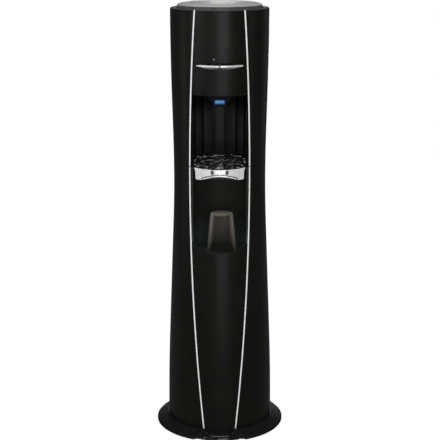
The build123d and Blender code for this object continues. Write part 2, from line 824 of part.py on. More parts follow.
def lever(side):
    """Crescent blade with an arm, a pivot hub and a tail for the switch."""
    with BuildPart() as blade:
        with BuildSketch(Plane.XY.offset(lever_height - 20)):
            with BuildLine():
                span = lever_half_span
                root_tip = sqrt(lever_root**2 - span**2)
                ThreePointArc((-span, -lever_tip), (0, -lever_front), (span, -lever_tip))
                ThreePointArc((-span, -root_tip), (0, -lever_root), (span, -root_tip))
                Line((-span, -lever_tip), (-span, -root_tip))
                Line((span, -lever_tip), (span, -root_tip))
            make_face()
        extrude(amount=40)
        with BuildSketch(Plane.XZ):
            with BuildLine():
                tip_up = lever_height + lever_tip_half
                tip_down = lever_height - lever_tip_half
                ThreePointArc((-span, tip_up), (0, lever_height + lever_middle_half), (span, tip_up))
                ThreePointArc((-span, tip_down), (0, lever_height - lever_middle_half), (span, tip_down))
                Line((-span, tip_down), (-span, tip_up))
                Line((span, tip_down), (span, tip_up))
            make_face()
        extrude(amount=reach, mode=Mode.INTERSECT)
        with Locations((side * (lever_gap / 2 + reach / 2), 0, lever_height)):
            Box(reach, 2 * reach, 80, mode=Mode.INTERSECT)
        front_edges = blade.edges().filter_by(lambda edge: (edge @ 0.5).Y < -lever_tip + 1)
        fillet(front_edges.filter_by(GeomType.LINE, reverse=True), 1.2)
        with Locations((side * (lever_gap + tab_width) / 2, 2 - lever_front, lever_height)):
            Box(tab_width, 5, lever_middle_half + tab_drop, align=(Align.CENTER, Align.MIN, Align.MAX))
        with Locations((side * hub_x, pivot_y, lever_height)):
            Box(hub_width, lever_root + pivot_y, 7, align=(Align.CENTER, Align.MAX, Align.CENTER))
            Box(6, 10, 4, align=(Align.CENTER, Align.MIN, Align.CENTER))
        with Locations(Plane.YZ.location * Pos(pivot_y, lever_height, side * hub_x)):
            Cylinder(hub_radius, hub_width)
            Cylinder(pin_radius + pin_clear, 2 * hub_width, mode=Mode.SUBTRACT)
    return blade.part


hot_lever = lever(-1)
save(hot_lever, "hot_lever")
cold_lever = lever(1)
save(cold_lever, "cold_lever")

# Pivot pin shared by both levers
pin_half = hub_x + hub_width
with BuildPart() as lever_pin:
    with Locations(Plane.YZ.location * Pos(pivot_y, lever_height, 0)):
        Cylinder(pin_radius, 2 * pin_half)
save(lever_pin.part, "lever_pin")

# Lever bracket: plate on the tank deck with four ears for the pin
bracket_y = -92.0
with BuildPart() as lever_bracket:
    with Locations((0, bracket_y, tank_deck_top)):
        Box(84, 2, lever_height - tank_deck_top + 22, align=(Align.CENTER, Align.MIN, Align.MIN))
        Box(84, 12, 2, align=(Align.CENTER, Align.MAX, Align.MIN))
    for side in (-1, 1):
        for offset in (-1, 1):
            ear_x = side * hub_x + offset * (hub_width / 2 + 1.5)
            with Locations((ear_x, bracket_y, lever_height)):
                Box(2, pivot_y * -1 + bracket_y + 6, 12, align=(Align.CENTER, Align.MAX, Align.CENTER))
    with Locations(Plane.YZ.location * Pos(pivot_y, lever_height, 0)):
        Cylinder(pin_radius + 0.02, 4 * pin_half, mode=Mode.SUBTRACT)
save(lever_bracket.part, "lever_bracket")

# Microswitches above the lever tails
with BuildPart() as microswitches:
    for side in (-1, 1):
        with Locations((side * hub_x, bracket_y - 0.1, lever_height + 6)):
            Box(7, 12, 13, align=(Align.CENTER, Align.MAX, Align.MIN))
        with Locations((side * hub_x, bracket_y - 4, lever_height + 4.2)):
            Cylinder(1.4, 2.2, align=(Align.CENTER, Align.CENTER, Align.MIN))
save(microswitches.part, "microswitches")

# Tank deck: plate inside the upper housing with passages for tubes and nozzles
with BuildPart() as tank_deck:
    add(column_core(panel_wall + joint_gap, tank_deck_low, tank_deck_top))
    with BuildSketch(Plane.XY.offset(tank_deck_low)):
        with Locations((nozzle_x, nozzle_y), (-nozzle_x, nozzle_y)):
            Circle(nozzle_radius + 0.4)
        with Locations((suction_x, suction_y)):
            Circle(6)
        with Locations((capillary_x, capillary_y)):
            Circle(4)
        with Locations((-nozzle_x - 4, hot_tube_y)):
            Circle(8)
    extrude(amount=10, mode=Mode.SUBTRACT)
save(tank_deck.part, "tank_deck")

# Tank stand: open ring that lifts the cold tank over the valves
with BuildPart() as tank_stand:
    with Locations((0, tank_y, tank_deck_top)):
        Cylinder(cold_radius + 10, valve_room, align=(Align.CENTER, Align.CENTER, Align.MIN))
        Cylinder(cold_radius + 8, 3 * valve_room, mode=Mode.SUBTRACT)
        with Locations((0, -30, 0)):
            Box(
                2 * reach,
                reach,
                3 * valve_room,
                align=(Align.CENTER, Align.MAX, Align.CENTER),
                mode=Mode.SUBTRACT,
            )
save(tank_stand.part, "tank_stand")

# Foam jacket around the cold tank
outlet_x = nozzle_x + 4
outlet_y = -20.0
with BuildPart() as foam_jacket:
    with Locations((0, tank_y, foam_low)):
        Cylinder(foam_radius, cold_high - 2.2 - foam_low, align=(Align.CENTER, Align.CENTER, Align.MIN))
    with Locations((0, tank_y, cold_low - 0.4)):
        Cylinder(
            cold_radius + 4.4,
            2 * reach,
            align=(Align.CENTER, Align.CENTER, Align.MIN),
            mode=Mode.SUBTRACT,
        )
    with Locations((outlet_x, outlet_y, foam_low)):
        Cylinder(5.6, 4 * foam_bottom, mode=Mode.SUBTRACT)
save(foam_jacket.part, "foam_jacket")

# Cold tank with a flanged mouth and an outlet stub through the foam
with BuildPart() as cold_tank:
    with Locations((0, tank_y, cold_low)):
        Cylinder(cold_radius, cold_high - cold_low, align=(Align.CENTER, Align.CENTER, Align.MIN))
    fillet(cold_tank.edges().group_by(Axis.Z)[0], 8)
    with Locations((0, tank_y, cold_high - 2)):
        Cylinder(cold_radius + 7, 2, align=(Align.CENTER, Align.CENTER, Align.MIN))
    with Locations((0, tank_y, cold_low + 1.2)):
        Cylinder(cold_radius - 7, 9, align=(Align.CENTER, Align.CENTER, Align.MIN), mode=Mode.SUBTRACT)
    with Locations((0, tank_y, cold_low + 9)):
        Cylinder(
            cold_radius - 1.2,
            2 * reach,
            align=(Align.CENTER, Align.CENTER, Align.MIN),
            mode=Mode.SUBTRACT,
        )
    with Locations((outlet_x, outlet_y, cold_low + 1)):
        Cylinder(5, foam_bottom + 8, align=(Align.CENTER, Align.CENTER, Align.MAX))
        Cylinder(3.5, 200, mode=Mode.SUBTRACT)
save(cold_tank.part, "cold_tank")

# Evaporator sleeve between the cold tank and its foam
with BuildPart() as evaporator_sleeve:
    with Locations((0, tank_y, cold_low + 14)):
        Cylinder(cold_radius + 3.8, cold_high - cold_low - 30, align=(Align.CENTER, Align.CENTER, Align.MIN))
        Cylinder(cold_radius + 0.4, 4 * reach, mode=Mode.SUBTRACT)
save(evaporator_sleeve.part, "evaporator_sleeve")

# Tank cover with the opening for the bottle well
well_radius = 37.0
with BuildPart() as tank_cover:
    with Locations((0, tank_y, cold_high + 0.2)):
        Cylinder(cold_radius + 7, 3, align=(Align.CENTER, Align.CENTER, Align.MIN))
    with Locations((0, 0, cold_high)):
        Cylinder(well_radius + 0.6, 40, mode=Mode.SUBTRACT)
save(tank_cover.part, "tank_cover")

# Top ring: caps the shells and carries the well
with BuildPart() as top_ring:
    with BuildSketch(Plane.XZ):
        with BuildLine():
            Polyline(
                (rim_radius, shell_top + 0.3),
                (rim_radius, rim_height),
                (collar_radius + 0.7, rim_height),
                (collar_radius + 0.7, rim_height - 5),
                (collar_radius - 11, rim_height - 5),
                (collar_radius - 11, rim_height - 9),
                (rim_radius - 8, rim_height - 9),
                (rim_radius - 8, rim_height - 24),
                (rim_radius - 3.7, rim_height - 24),
                (rim_radius - 3.7, shell_top + 0.3),
                close=True,
            )
        make_face()
    revolve(axis=Axis.Z)
    fillet(top_ring.edges().filter_by(GeomType.CIRCLE).group_by(Axis.Z)[-1].sort_by(SortBy.RADIUS)[-1], 3)
    with BuildPart(mode=Mode.PRIVATE) as trim_channels:
        add(column_shell(4, trim_depth + joint_gap, shell_top - 5, rim_height + 10))
        add(outer_front, mode=Mode.INTERSECT)
        add(inner_front, mode=Mode.SUBTRACT)
    add(trim_channels.part, mode=Mode.SUBTRACT)
save(top_ring.part, "top_ring")

# Bottle well: flanged dish and funnel down into the cold tank
well_low = cold_high - 15
funnel_foot = rim_height - 20
with BuildPart() as bottle_well:
    with BuildSketch(Plane.XZ):
        with BuildLine():
            Polyline(
                (collar_radius - 0.5, rim_height - 4.8),
                (collar_radius - 0.5, rim_height - 2.6),
                (funnel_radius, rim_height - 2.6),
                (funnel_radius - 2, funnel_foot),
                (well_radius - 2.5, cold_high + 9),
                (well_radius - 2.5, well_low + 3),
                (9.2, well_low + 3),
                (9.2, well_low),
                (well_radius, well_low),
                (well_radius, cold_high + 8),
                (funnel_radius + 0.5, funnel_foot - 1.5),
                (funnel_radius + 2.5, rim_height - 4.8),
                close=True,
            )
        make_face()
    revolve(axis=Axis.Z)
save(bottle_well.part, "bottle_well")

# Feed spike that opens the bottle
with BuildPart() as feed_spike:
    with BuildSketch(Plane.XZ):
        with BuildLine():
            Polyline(
                (5, well_low - 4),
                (8.8, well_low - 4),
                (8.8, well_low + 3.2),
                (13, well_low + 3.2),
                (13, well_low + 6),
                (8.5, well_low + 6),
                (8.5, well_low + 36),
                (3, well_low + 46),
                (0, well_low + 46),
                (0, well_low + 40),
                (5, well_low + 34),
                close=True,
            )
        make_face()
    revolve(axis=Axis.Z)
    with Locations((0, 0, well_low + 26)):
        Box(4, 40, 10, mode=Mode.SUBTRACT)
        Box(40, 4, 10, mode=Mode.SUBTRACT)
save(feed_spike.part, "feed_spike")

# Bottle collar with the seat of the lid
collar_top = rim_height + 4.0
with BuildPart() as bottle_collar:
    with BuildSketch(Plane.XZ):
        with BuildLine():
            Polyline(
                (collar_radius - 22, rim_height - 2.4),
                (collar_radius, rim_height - 2.4),
                (collar_radius, collar_top - 2),
                (collar_radius - 2, collar_top),
                (lid_radius + 0.7, collar_top),
                (lid_radius + 0.7, collar_top - 3),
                (collar_radius - 22, collar_top - 3),
                close=True,
            )
        make_face()
    revolve(axis=Axis.Z)
save(bottle_collar.part, "bottle_collar")

# Top lid: low silver dome, hollow below
lid_low = collar_top - 2.8


def lid_dome(inset):
    """Solid dome of the lid, with its outside moved inwards by inset."""
    edge = lid_radius - inset
    shoulder = lid_low + 0.46 * lid_rise - inset
    apex = lid_low + lid_rise - inset
    cap_radius = ((edge - 4) ** 2 + (apex - shoulder) ** 2) / (2 * (apex - shoulder))
    cap_middle = apex - cap_radius + sqrt(cap_radius**2 - (edge - 4) ** 2 / 4)
    with BuildPart() as dome:
        with BuildSketch(Plane.XZ):
            with BuildLine():
                Polyline((0, apex), (0, lid_low - inset), (edge, lid_low - inset))
                Line((edge, lid_low - inset), (edge, shoulder - 3.4))
                ThreePointArc((edge, shoulder - 3.4), (edge - 1.2, shoulder - 1.1), (edge - 4, shoulder))
                ThreePointArc((edge - 4, shoulder), ((edge - 4) / 2, cap_middle), (0, apex))
            make_face()
        revolve(axis=Axis.Z)
    return dome.part


with BuildPart() as top_lid:
    add(lid_dome(0))
    add(lid_dome(2.4), mode=Mode.SUBTRACT)
save(top_lid.part, "top_lid")

# Hot tank with outlet and drain bores
with BuildPart() as hot_tank:
    with Locations((0, hot_y, hot_low)):
        Cylinder(hot_radius, hot_height, align=(Align.CENTER, Align.CENTER, Align.MIN))
    fillet(hot_tank.edges().filter_by(GeomType.CIRCLE), 6)
    with Locations((0, hot_y, hot_low + 1.5)):
        Cylinder(
            hot_radius - 6,
            hot_height - 3,
            align=(Align.CENTER, Align.CENTER, Align.MIN),
            mode=Mode.SUBTRACT,
        )
    with Locations((0, hot_y, hot_low)):
        Cylinder(5, 11, align=(Align.CENTER, Align.CENTER, Align.MAX))
        Cylinder(3.5, 60, mode=Mode.SUBTRACT)
    with Locations((-nozzle_x - 4, hot_tube_y, hot_low + hot_height)):
        Cylinder(4, 20, mode=Mode.SUBTRACT)
save(hot_tank.part, "hot_tank")

# Heater band around the hot tank
with BuildPart() as heater_band:
    with Locations((0, hot_y, hot_low + hot_height / 2)):
        Cylinder(hot_radius + 2.8, 44)
        Cylinder(hot_radius + 0.3, 80, mode=Mode.SUBTRACT)
save(heater_band.part, "heater_band")

# Jacket of the hot tank, open at the top under the deck
with BuildPart() as hot_jacket:
    with Locations((0, hot_y, jacket_low)):
        Cylinder(hot_foam_radius, niche_top - 0.2 - jacket_low, align=(Align.CENTER, Align.CENTER, Align.MIN))
    with Locations((0, hot_y, hot_low - 0.3)):
        Cylinder(
            hot_radius + 3.5,
            2 * reach,
            align=(Align.CENTER, Align.CENTER, Align.MIN),
            mode=Mode.SUBTRACT,
        )
    with Locations((0, hot_y, hot_low)):
        Cylinder(5.6, 60, mode=Mode.SUBTRACT)
save(hot_jacket.part, "hot_jacket")

# Strap that hangs the hot tank from the middle deck
strap_half = hot_foam_radius + 1.8
strap_low = jacket_low - 1.8
with BuildPart() as hot_strap:
    with Locations((0, hot_y, strap_low)):
        Box(2 * strap_half, 24, niche_top - 0.2 - strap_low, align=(Align.CENTER, Align.CENTER, Align.MIN))
    with Locations((0, hot_y, jacket_low - 0.3)):
        Box(
            2 * strap_half - 3,
            60,
            4 * reach,
            align=(Align.CENTER, Align.CENTER, Align.MIN),
            mode=Mode.SUBTRACT,
        )
    with Locations((strap_half + 4, hot_y, niche_top - 0.2), (-strap_half - 4, hot_y, niche_top - 0.2)):
        Box(11, 24, 1.5, align=(Align.CENTER, Align.CENTER, Align.MAX))
    with Locations((0, hot_y, strap_low)):
        Cylinder(7, 30, mode=Mode.SUBTRACT)
save(hot_strap.part, "hot_strap")

# Water tubes: tank to cold valve, hot tank to hot valve, hot tank to drain
barb_y = nozzle_y + 33.3
drain_y = foot_radius + 13
cold_tube = tube(
    [
        (outlet_x, barb_y, tank_deck_top + 8),
        (outlet_x, outlet_y, tank_deck_top + 8),
        (outlet_x, outlet_y, cold_low - foam_bottom - 7.3),
    ],
    5,
    10,
)
hot_tube = tube(
    [
        (-nozzle_x - 4, barb_y, tank_deck_top + 8),
        (-nozzle_x - 4, hot_tube_y, tank_deck_top + 8),
        (-nozzle_x - 4, hot_tube_y, hot_low + hot_height + 0.3),
    ],
    5,
    10,
)
drain_tube = tube(
    [
        (0, hot_y, hot_low - 11.3),
        (0, hot_y, condenser_low + 100),
        (0, condenser_y - 11, condenser_low + 70),
        (0, condenser_y - 11, drain_height),
        (0, drain_y, drain_height),
    ],
    4.5,
    14,
)
water_tubes = Compound(children=[cold_tube, hot_tube, drain_tube])
save(water_tubes, "water_tubes")

# Drain cap on the end of the drain tube
cap_plane = Plane.XZ.offset(-drain_y - 4)
with BuildPart() as drain_cap:
    with BuildSketch(cap_plane):
        with Locations((0, drain_height)):
            RegularPolygon(11, 12)
    extrude(amount=16)
    with BuildSketch(cap_plane.offset(3.7)):
        with Locations((0, drain_height)):
            Circle(4.8)
    extrude(amount=20, mode=Mode.SUBTRACT)
save(drain_cap.part, "drain_cap")

# Compressor: welded can on a mounting plate
with BuildPart() as compressor:
    with Locations((0, compressor_y, pan_top + 8)):
        Cylinder(compressor_radius, compressor_tall, align=(Align.CENTER, Align.CENTER, Align.MIN))
    fillet(compressor.edges().filter_by(GeomType.CIRCLE), 22)
    with Locations((0, compressor_y, pan_top + 30)):
        Box(
            2 * compressor_radius + 34,
            2 * compressor_radius - 6,
            3,
            align=(Align.CENTER, Align.CENTER, Align.MAX),
        )
save(compressor.part, "compressor")

# Grommets under the corners of the compressor plate
with BuildPart() as grommets:
    with Locations((0, compressor_y, pan_top)):
        with GridLocations(2 * compressor_radius + 14, 2 * compressor_radius - 26, 2, 2):
            Cylinder(9, 26.8, align=(Align.CENTER, Align.CENTER, Align.MIN))
save(grommets.part, "grommets")

# Relay box on the side of the compressor
with BuildPart() as relay_box:
    with Locations((compressor_radius + 0.3, compressor_y, pan_top + 50)):
        Box(24, 40, 46, align=(Align.MIN, Align.CENTER, Align.MIN))
    fillet(relay_box.edges().filter_by(Axis.Z), 4)
save(relay_box.part, "relay_box")

# Condenser: flat serpentine behind the louvres
serpentine = []
for run in range(condenser_runs):
    run_height = condenser_low + run * condenser_pitch
    run_side = 1 if run % 2 == 0 else -1
    serpentine.append((run_side * condenser_half, condenser_y, run_height))
    serpentine.append((-run_side * condenser_half, condenser_y, run_height))
condenser_coil = tube(serpentine, condenser_tube, 0.46 * condenser_pitch)
save(condenser_coil, "condenser_coil")

# Rails that stand on the pan and carry the condenser, and the cooling wires across it
with BuildPart() as condenser_rails:
    with Locations((-38, condenser_y, pan_top), (38, condenser_y, pan_top)):
        with Locations((0, condenser_tube + 0.2, 0)):
            Box(12, 2, condenser_high - pan_top + 20, align=(Align.CENTER, Align.MIN, Align.MIN))
    with Locations((0, condenser_y - condenser_tube - 1.2, condenser_low - 8)):
        with GridLocations(9, 1, 8, 1):
            Cylinder(1, condenser_high - condenser_low + 16, align=(Align.CENTER, Align.CENTER, Align.MIN))
save(condenser_rails.part, "condenser_rails")

# Refrigerant lines: discharge, liquid line with drier and capillary, suction
line_start = pan_top + 8 + compressor_tall
discharge_line = tube(
    [
        (-25, compressor_y + 8, line_start + 0.3),
        (-25, compressor_y + 8, line_start + 40),
        (-capillary_x, compressor_y + 8, line_start + 40),
        (-capillary_x, compressor_y + 8, condenser_high),
        (-capillary_x, condenser_y, condenser_high),
        (-condenser_half - 0.3, condenser_y, condenser_high),
    ],
    condenser_tube,
    6,
)
suction_line = tube(
    [
        (25, compressor_y + 8, line_start + 0.3),
        (25, compressor_y + 8, line_start + 50),
        (suction_x, compressor_y + 8, line_start + 50),
        (suction_x, suction_y, line_start + 50),
        (suction_x, suction_y, foam_low - 0.3),
    ],
    3.5,
    12,
)
with BuildPart() as liquid_line:
    add(
        tube(
            [
                (condenser_half + 0.3, condenser_y, condenser_low),
                (capillary_x, condenser_y, condenser_low),
                (capillary_x, capillary_y, condenser_low),
                (capillary_x, capillary_y, condenser_low + 24),
            ],
            condenser_tube,
            6,
        )
    )
    with Locations((capillary_x, capillary_y, condenser_low + 22)):
        Cylinder(8, 60, align=(Align.CENTER, Align.CENTER, Align.MIN))
        Cylinder(1.5, foam_low - 0.3 - condenser_low - 22, align=(Align.CENTER, Align.CENTER, Align.MIN))
refrigerant_lines = Compound(children=[discharge_line, suction_line, liquid_line.part])
save(refrigerant_lines, "refrigerant_lines")

# Power inlet in the rear panel
inlet_y = column_radius(inlet_height - 14) + 0.2
inlet_plane = Plane.XZ.offset(-inlet_y)
with BuildPart() as power_inlet:
    with BuildSketch(inlet_plane):
        with Locations((0, inlet_height)):
            RectangleRounded(42, 28, 4)
    extrude(amount=-3)
    with BuildSketch(inlet_plane):
        with Locations((0, inlet_height)):
            Rectangle(27.4, 19.4)
    extrude(amount=24)
    with BuildSketch(inlet_plane.offset(-3)):
        with Locations((0, inlet_height)):
            RectangleRounded(23, 15.5, 3)
    extrude(amount=19, mode=Mode.SUBTRACT)
    with BuildSketch(inlet_plane.offset(18)):
        with Locations((-6.5, inlet_height - 2), (6.5, inlet_height - 2), (0, inlet_height + 2.5)):
            Rectangle(2, 4)
    extrude(amount=-15)
save(power_inlet.part, "power_inlet")

# Switch frame with two wells for the rockers
rocker_x = 13.0
rocker_radius = 8.5
rocker_pin = 1.5
switch_y = column_radius(switch_height - 15) + 0.2
switch_plane = Plane.XZ.offset(-switch_y)
pin_y = switch_y - 3.0
with BuildPart() as switch_frame:
    with BuildSketch(switch_plane):
        with Locations((0, switch_height)):
            RectangleRounded(62, 30, 4)
    extrude(amount=-3)
    with BuildSketch(switch_plane):
        with Locations((0, switch_height)):
            Rectangle(53.4, 23.4)
    extrude(amount=20)
    with BuildSketch(switch_plane.offset(-3)):
        with Locations((-rocker_x, switch_height), (rocker_x, switch_height)):
            Rectangle(17, 2 * rocker_radius + 1.4)
    extrude(amount=17, mode=Mode.SUBTRACT)
    with Locations(Plane.YZ.location * Pos(pin_y, switch_height, 0)):
        Cylinder(rocker_pin + pin_clear, 49, mode=Mode.SUBTRACT)
save(switch_frame.part, "switch_frame")


def rocker(side):
    """Rocker on its pins, modelled in the off position."""
    with BuildPart() as key:
        with Locations(Plane.YZ.location * Pos(pin_y, switch_height, side * rocker_x)):
            Cylinder(rocker_radius, 16)
        with BuildSketch(Plane.YZ.offset(side * rocker_x)):
            with BuildLine():
                Polyline(
                    (pin_y + 6, switch_height),
                    (pin_y + 8, switch_height + 12),
                    (pin_y + 20, switch_height + 12),
                    (pin_y + 20, switch_height - 12),
                    (pin_y + 8, switch_height - 12),
                    close=True,
                )
            make_face()
        extrude(amount=20, both=True, mode=Mode.SUBTRACT)
        with Locations(Plane.YZ.location * Pos(pin_y, switch_height, side * rocker_x)):
            Cylinder(rocker_pin, 21)
    return key.part.rotate(Axis((0, pin_y, switch_height), (1, 0, 0)), -8)


hot_switch = rocker(-1)
save(hot_switch, "hot_switch")
cold_switch = rocker(1)
save(cold_switch, "cold_switch")
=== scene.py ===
"""Looks of the water dispenser: smooth outer panels, trims, finishes, studio and camera."""
import json
from math import asin, cos, exp, pi, radians, sin, sqrt

import bmesh
import bpy
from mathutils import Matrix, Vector


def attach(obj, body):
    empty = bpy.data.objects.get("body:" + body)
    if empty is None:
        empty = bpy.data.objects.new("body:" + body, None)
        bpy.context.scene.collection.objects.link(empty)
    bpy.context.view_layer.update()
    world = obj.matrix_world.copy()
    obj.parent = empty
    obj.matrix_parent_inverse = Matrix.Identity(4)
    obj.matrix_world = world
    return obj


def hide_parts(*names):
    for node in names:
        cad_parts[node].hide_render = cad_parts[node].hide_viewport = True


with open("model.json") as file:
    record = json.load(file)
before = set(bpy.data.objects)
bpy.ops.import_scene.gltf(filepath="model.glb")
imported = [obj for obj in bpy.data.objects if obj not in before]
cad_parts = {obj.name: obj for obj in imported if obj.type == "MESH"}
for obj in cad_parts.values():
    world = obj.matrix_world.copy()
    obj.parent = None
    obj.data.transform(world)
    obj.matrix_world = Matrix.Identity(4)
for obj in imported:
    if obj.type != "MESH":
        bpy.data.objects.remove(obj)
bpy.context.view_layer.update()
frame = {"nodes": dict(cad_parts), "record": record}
nodes = frame["nodes"]
scene = bpy.context.scene
MM = 0.001
hands = ((-1, "left"), (1, "right"))

# Column, in millimetres
foot_radius = 136.5
waist_radius = 117.7
rim_radius = 124.3
outline_corners = [
    (foot_radius, 0.0), (foot_radius, 140.0), (waist_radius, 625.0),
    (waist_radius, 733.0), (rim_radius, 987.0), (rim_radius, 1140.0),
]
corner_shares = [0.75, 0.5, 0.48, 0.72]
corner_steps = 16
joint_gap = 0.4
foot_height = 24.0
seam_height = 712.0
lower_high = seam_height - joint_gap / 2
upper_low = seam_height + joint_gap / 2
shell_top = 1096.0
alcove_top = 892.0
alcove_middle = -28.0
lever_height = 966.0

# Panels
panel_wall = 3.0
side_edge = 0.5
front_edge = 0.6
rear_half = 72.0
settle_rounds = 3

# Trims
trim_half = 1.8
trim_crown = 0.75
trim_depth = 2.0
trim_top = 1099.4
trim_seam_gap = 0.8
trim_spread = 74.8
trim_middle = 680.0
trim_bow = 6400.0


# Column outline

def part_way(low, high, share):
    """Value a share of the way from one value to another."""
    return low + (high - low) * share


def column_outline():
    """Radius and height of points along the eased outline, from the floor up."""
    points = [outline_corners[0]]
    runs = zip(corner_shares, outline_corners, outline_corners[1:], outline_corners[2:])
    for share, before, corner, after in runs:
        before, corner, after = Vector(before), Vector(corner), Vector(after)
        ease = share * min((corner - before).length, (after - corner).length)
        start = corner + (before - corner).normalized() * ease
        end = corner + (after - corner).normalized() * ease
        for step in range(corner_steps + 1):
            along = step / corner_steps
            points.append(tuple(start.lerp(corner, along).lerp(corner.lerp(end, along), along)))
    return points + [outline_corners[-1]]


outline = column_outline()


def column_radius(height):
    """Outer radius of the column at a height."""
    for (low_radius, low), (high_radius, high) in zip(outline, outline[1:]):
        if low <= height <= high and high > low:
            return part_way(low_radius, high_radius, (height - low) / (high - low))
    return outline[-1][0]


def trim_x(height):
    """Half spacing of the silver trims at a height."""
    rise = height - trim_middle
    return trim_spread - (trim_bow - sqrt(trim_bow**2 - rise**2))


def front_half(height):
    """Half width of the front panels at a height."""
    return trim_x(height) - trim_half - joint_gap


def side_start(height):
    """Angle from the front at which the side panels start at a height."""
    return asin((trim_x(height) + trim_half + joint_gap) / column_radius(height))


def drum_point(x, height, radius):
    """Point on the front of an upright drum."""
    return Vector((x, -sqrt(radius**2 - x**2), height))


def front_point(x, height, outset=0.0):
    """Point on the front of the column."""
    return drum_point(x, height, column_radius(height) + outset)


def round_point(angle, height):
    """Point on the column at an angle from the front, turning towards the right."""
    radius = column_radius(height)
    return Vector((radius * sin(angle), -radius * cos(angle), height))


def arc_height(x, half, side, middle):
    """Height at x of an arc through its middle and its two ends, held level beyond them."""
    rise = side - middle
    radius = (half**2 + rise**2) / (2 * abs(rise))
    drop = radius - sqrt(radius**2 - min(abs(x), half) ** 2)
    return middle + drop if rise > 0 else middle - drop


# Mesh helpers

crease_angle = 40


def new_piece(mesh, name, body, replaced=(), crease=crease_angle):
    """Object from a finished bmesh, riding on a body and standing for CAD nodes."""
    data = bpy.data.meshes.new(name)
    mesh.to_mesh(data)
    mesh.free()
    piece = bpy.data.objects.new(name, data)
    scene.collection.objects.link(piece)
    data.shade_smooth()
    data.set_sharp_from_angle(angle=radians(crease))
    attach(piece, body)
    if replaced:
        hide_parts(*replaced)
    return piece


def mean_place(mesh):
    """Mean of the vertices of a mesh."""
    total = Vector((0, 0, 0))
    for vert in mesh.verts:
        total += vert.co
    return total / len(mesh.verts)


def wrapped_sheet(place, outward, columns, rows):
    """Grid laid on a surface by place(across, up), with its faces pointing along outward."""
    mesh = bmesh.new()
    bmesh.ops.create_grid(mesh, x_segments=columns, y_segments=rows, size=1)
    for vert in mesh.verts:
        vert.co = place(vert.co.x, (vert.co.y + 1) / 2) * MM
    mesh.normal_update()
    centre = mean_place(mesh)
    middle = min(mesh.faces, key=lambda face: (face.calc_center_median() - centre).length)
    if middle.normal.dot(outward(middle.calc_center_median())) < 0:
        bmesh.ops.reverse_faces(mesh, faces=mesh.faces)
    return mesh


def turned(profile, centre, steps=96):
    """Round piece turned about an upright axis from radius and height points."""
    mesh = bmesh.new()
    points = [mesh.verts.new((radius * MM, 0, height * MM)) for radius, height in profile]
    for start, end in zip(points, points[1:]):
        mesh.edges.new((start, end))
    bmesh.ops.spin(
        mesh, geom=mesh.verts[:] + mesh.edges[:], cent=(0, 0, 0), axis=(0, 0, 1),
        angle=2 * pi, steps=steps, use_merge=True,
    )
    bmesh.ops.remove_doubles(mesh, verts=mesh.verts, dist=1e-6)
    bmesh.ops.recalc_face_normals(mesh, faces=mesh.faces)
    bmesh.ops.translate(mesh, verts=mesh.verts, vec=Vector((*centre, 0)) * MM)
    return mesh


def away_from_axis(point):
    """Direction straight out of the column at a point."""
    return Vector((point.x, point.y, 0)).normalized()


def front_and_up(point):
    """Direction that the sloping pieces of the foot face."""
    return Vector((0, -1, 1))


def upwards(point):
    """Direction that a level sheet faces."""
    return Vector((0, 0, 1))


def thicken(piece, wall, edge=0.0):
    """Wall of a thickness in millimetres behind the sheet, with rounded edges."""
    solid = piece.modifiers.new("wall", "SOLIDIFY")
    solid.thickness = wall * MM
    solid.offset = -1
    solid.use_even_offset = True
    if edge:
        bevel = piece.modifiers.new("edge", "BEVEL")
        bevel.width = edge * MM
        bevel.segments = 3
        bevel.limit_method = "ANGLE"
        bevel.angle_limit = radians(crease_angle)


# Lower housing

scoop_half = 66.5
scoop_side = 518.0
scoop_middle = 493.0
scoop_blend = 400.0


def side_panel(side, name):
    """Panel from the trim round to the rear panel."""
    def place(across, up):
        height = part_way(foot_height, lower_high, up)
        start = side_start(height)
        end = pi - asin((rear_half + joint_gap) / column_radius(height))
        return round_point(side * part_way(start, end, (across + 1) / 2), height)

    sheet = wrapped_sheet(place, away_from_axis, columns=40, rows=90)
    piece = new_piece(sheet, name + "_smooth", "cabinet", [name])
    thicken(piece, panel_wall, side_edge)
    return piece


side_panels = [side_panel(side, f"lower_{hand}_panel") for side, hand in hands]


def lower_front_place(across, up):
    """Place on the lower front panel, whose upper rows bend down into the scoop."""
    flat = part_way(foot_height, scoop_side, up)
    height = flat
    for _ in range(settle_rounds):
        x = across * front_half(height)
        if flat > scoop_blend:
            top = arc_height(x, scoop_half, scoop_side, scoop_middle)
            height = part_way(scoop_blend, top, (flat - scoop_blend) / (scoop_side - scoop_blend))
    return front_point(x, height)


lower_front = new_piece(
    wrapped_sheet(lower_front_place, away_from_axis, columns=48, rows=90),
    "lower_front_panel_smooth", "cabinet", ["lower_front_panel"],
)
thicken(lower_front, panel_wall, front_edge)


# Upper housing

slot_half = 58.5
slot_tip_above = 2.6
slot_middle_above = 5.0
slot_tip_below = 4.4
slot_middle_below = 9.0
slot_margin = 0.1
slot_columns = 0.875
rows_below_slot = 0.36
rows_to_slot_top = 0.42
front_low = alcove_top + joint_gap


def upper_shell_place(across, up):
    """Place on the upper shell, which runs from one trim round the back to the other."""
    height = part_way(upper_low, shell_top, up)
    start = side_start(height)
    return round_point(part_way(start, 2 * pi - start, (across + 1) / 2), height)


upper_shell = new_piece(
    wrapped_sheet(upper_shell_place, away_from_axis, columns=120, rows=60),
    "upper_shell_smooth", "cabinet", ["upper_shell"],
)
thicken(upper_shell, panel_wall, side_edge)


def slot_high(x):
    """Height of the lever slot's upper edge at x."""
    return arc_height(x, slot_half, lever_height + slot_tip_above, lever_height + slot_middle_above)


def slot_low(x):
    """Height of the lever slot's lower edge at x."""
    return arc_height(x, slot_half, lever_height - slot_tip_below, lever_height - slot_middle_below)


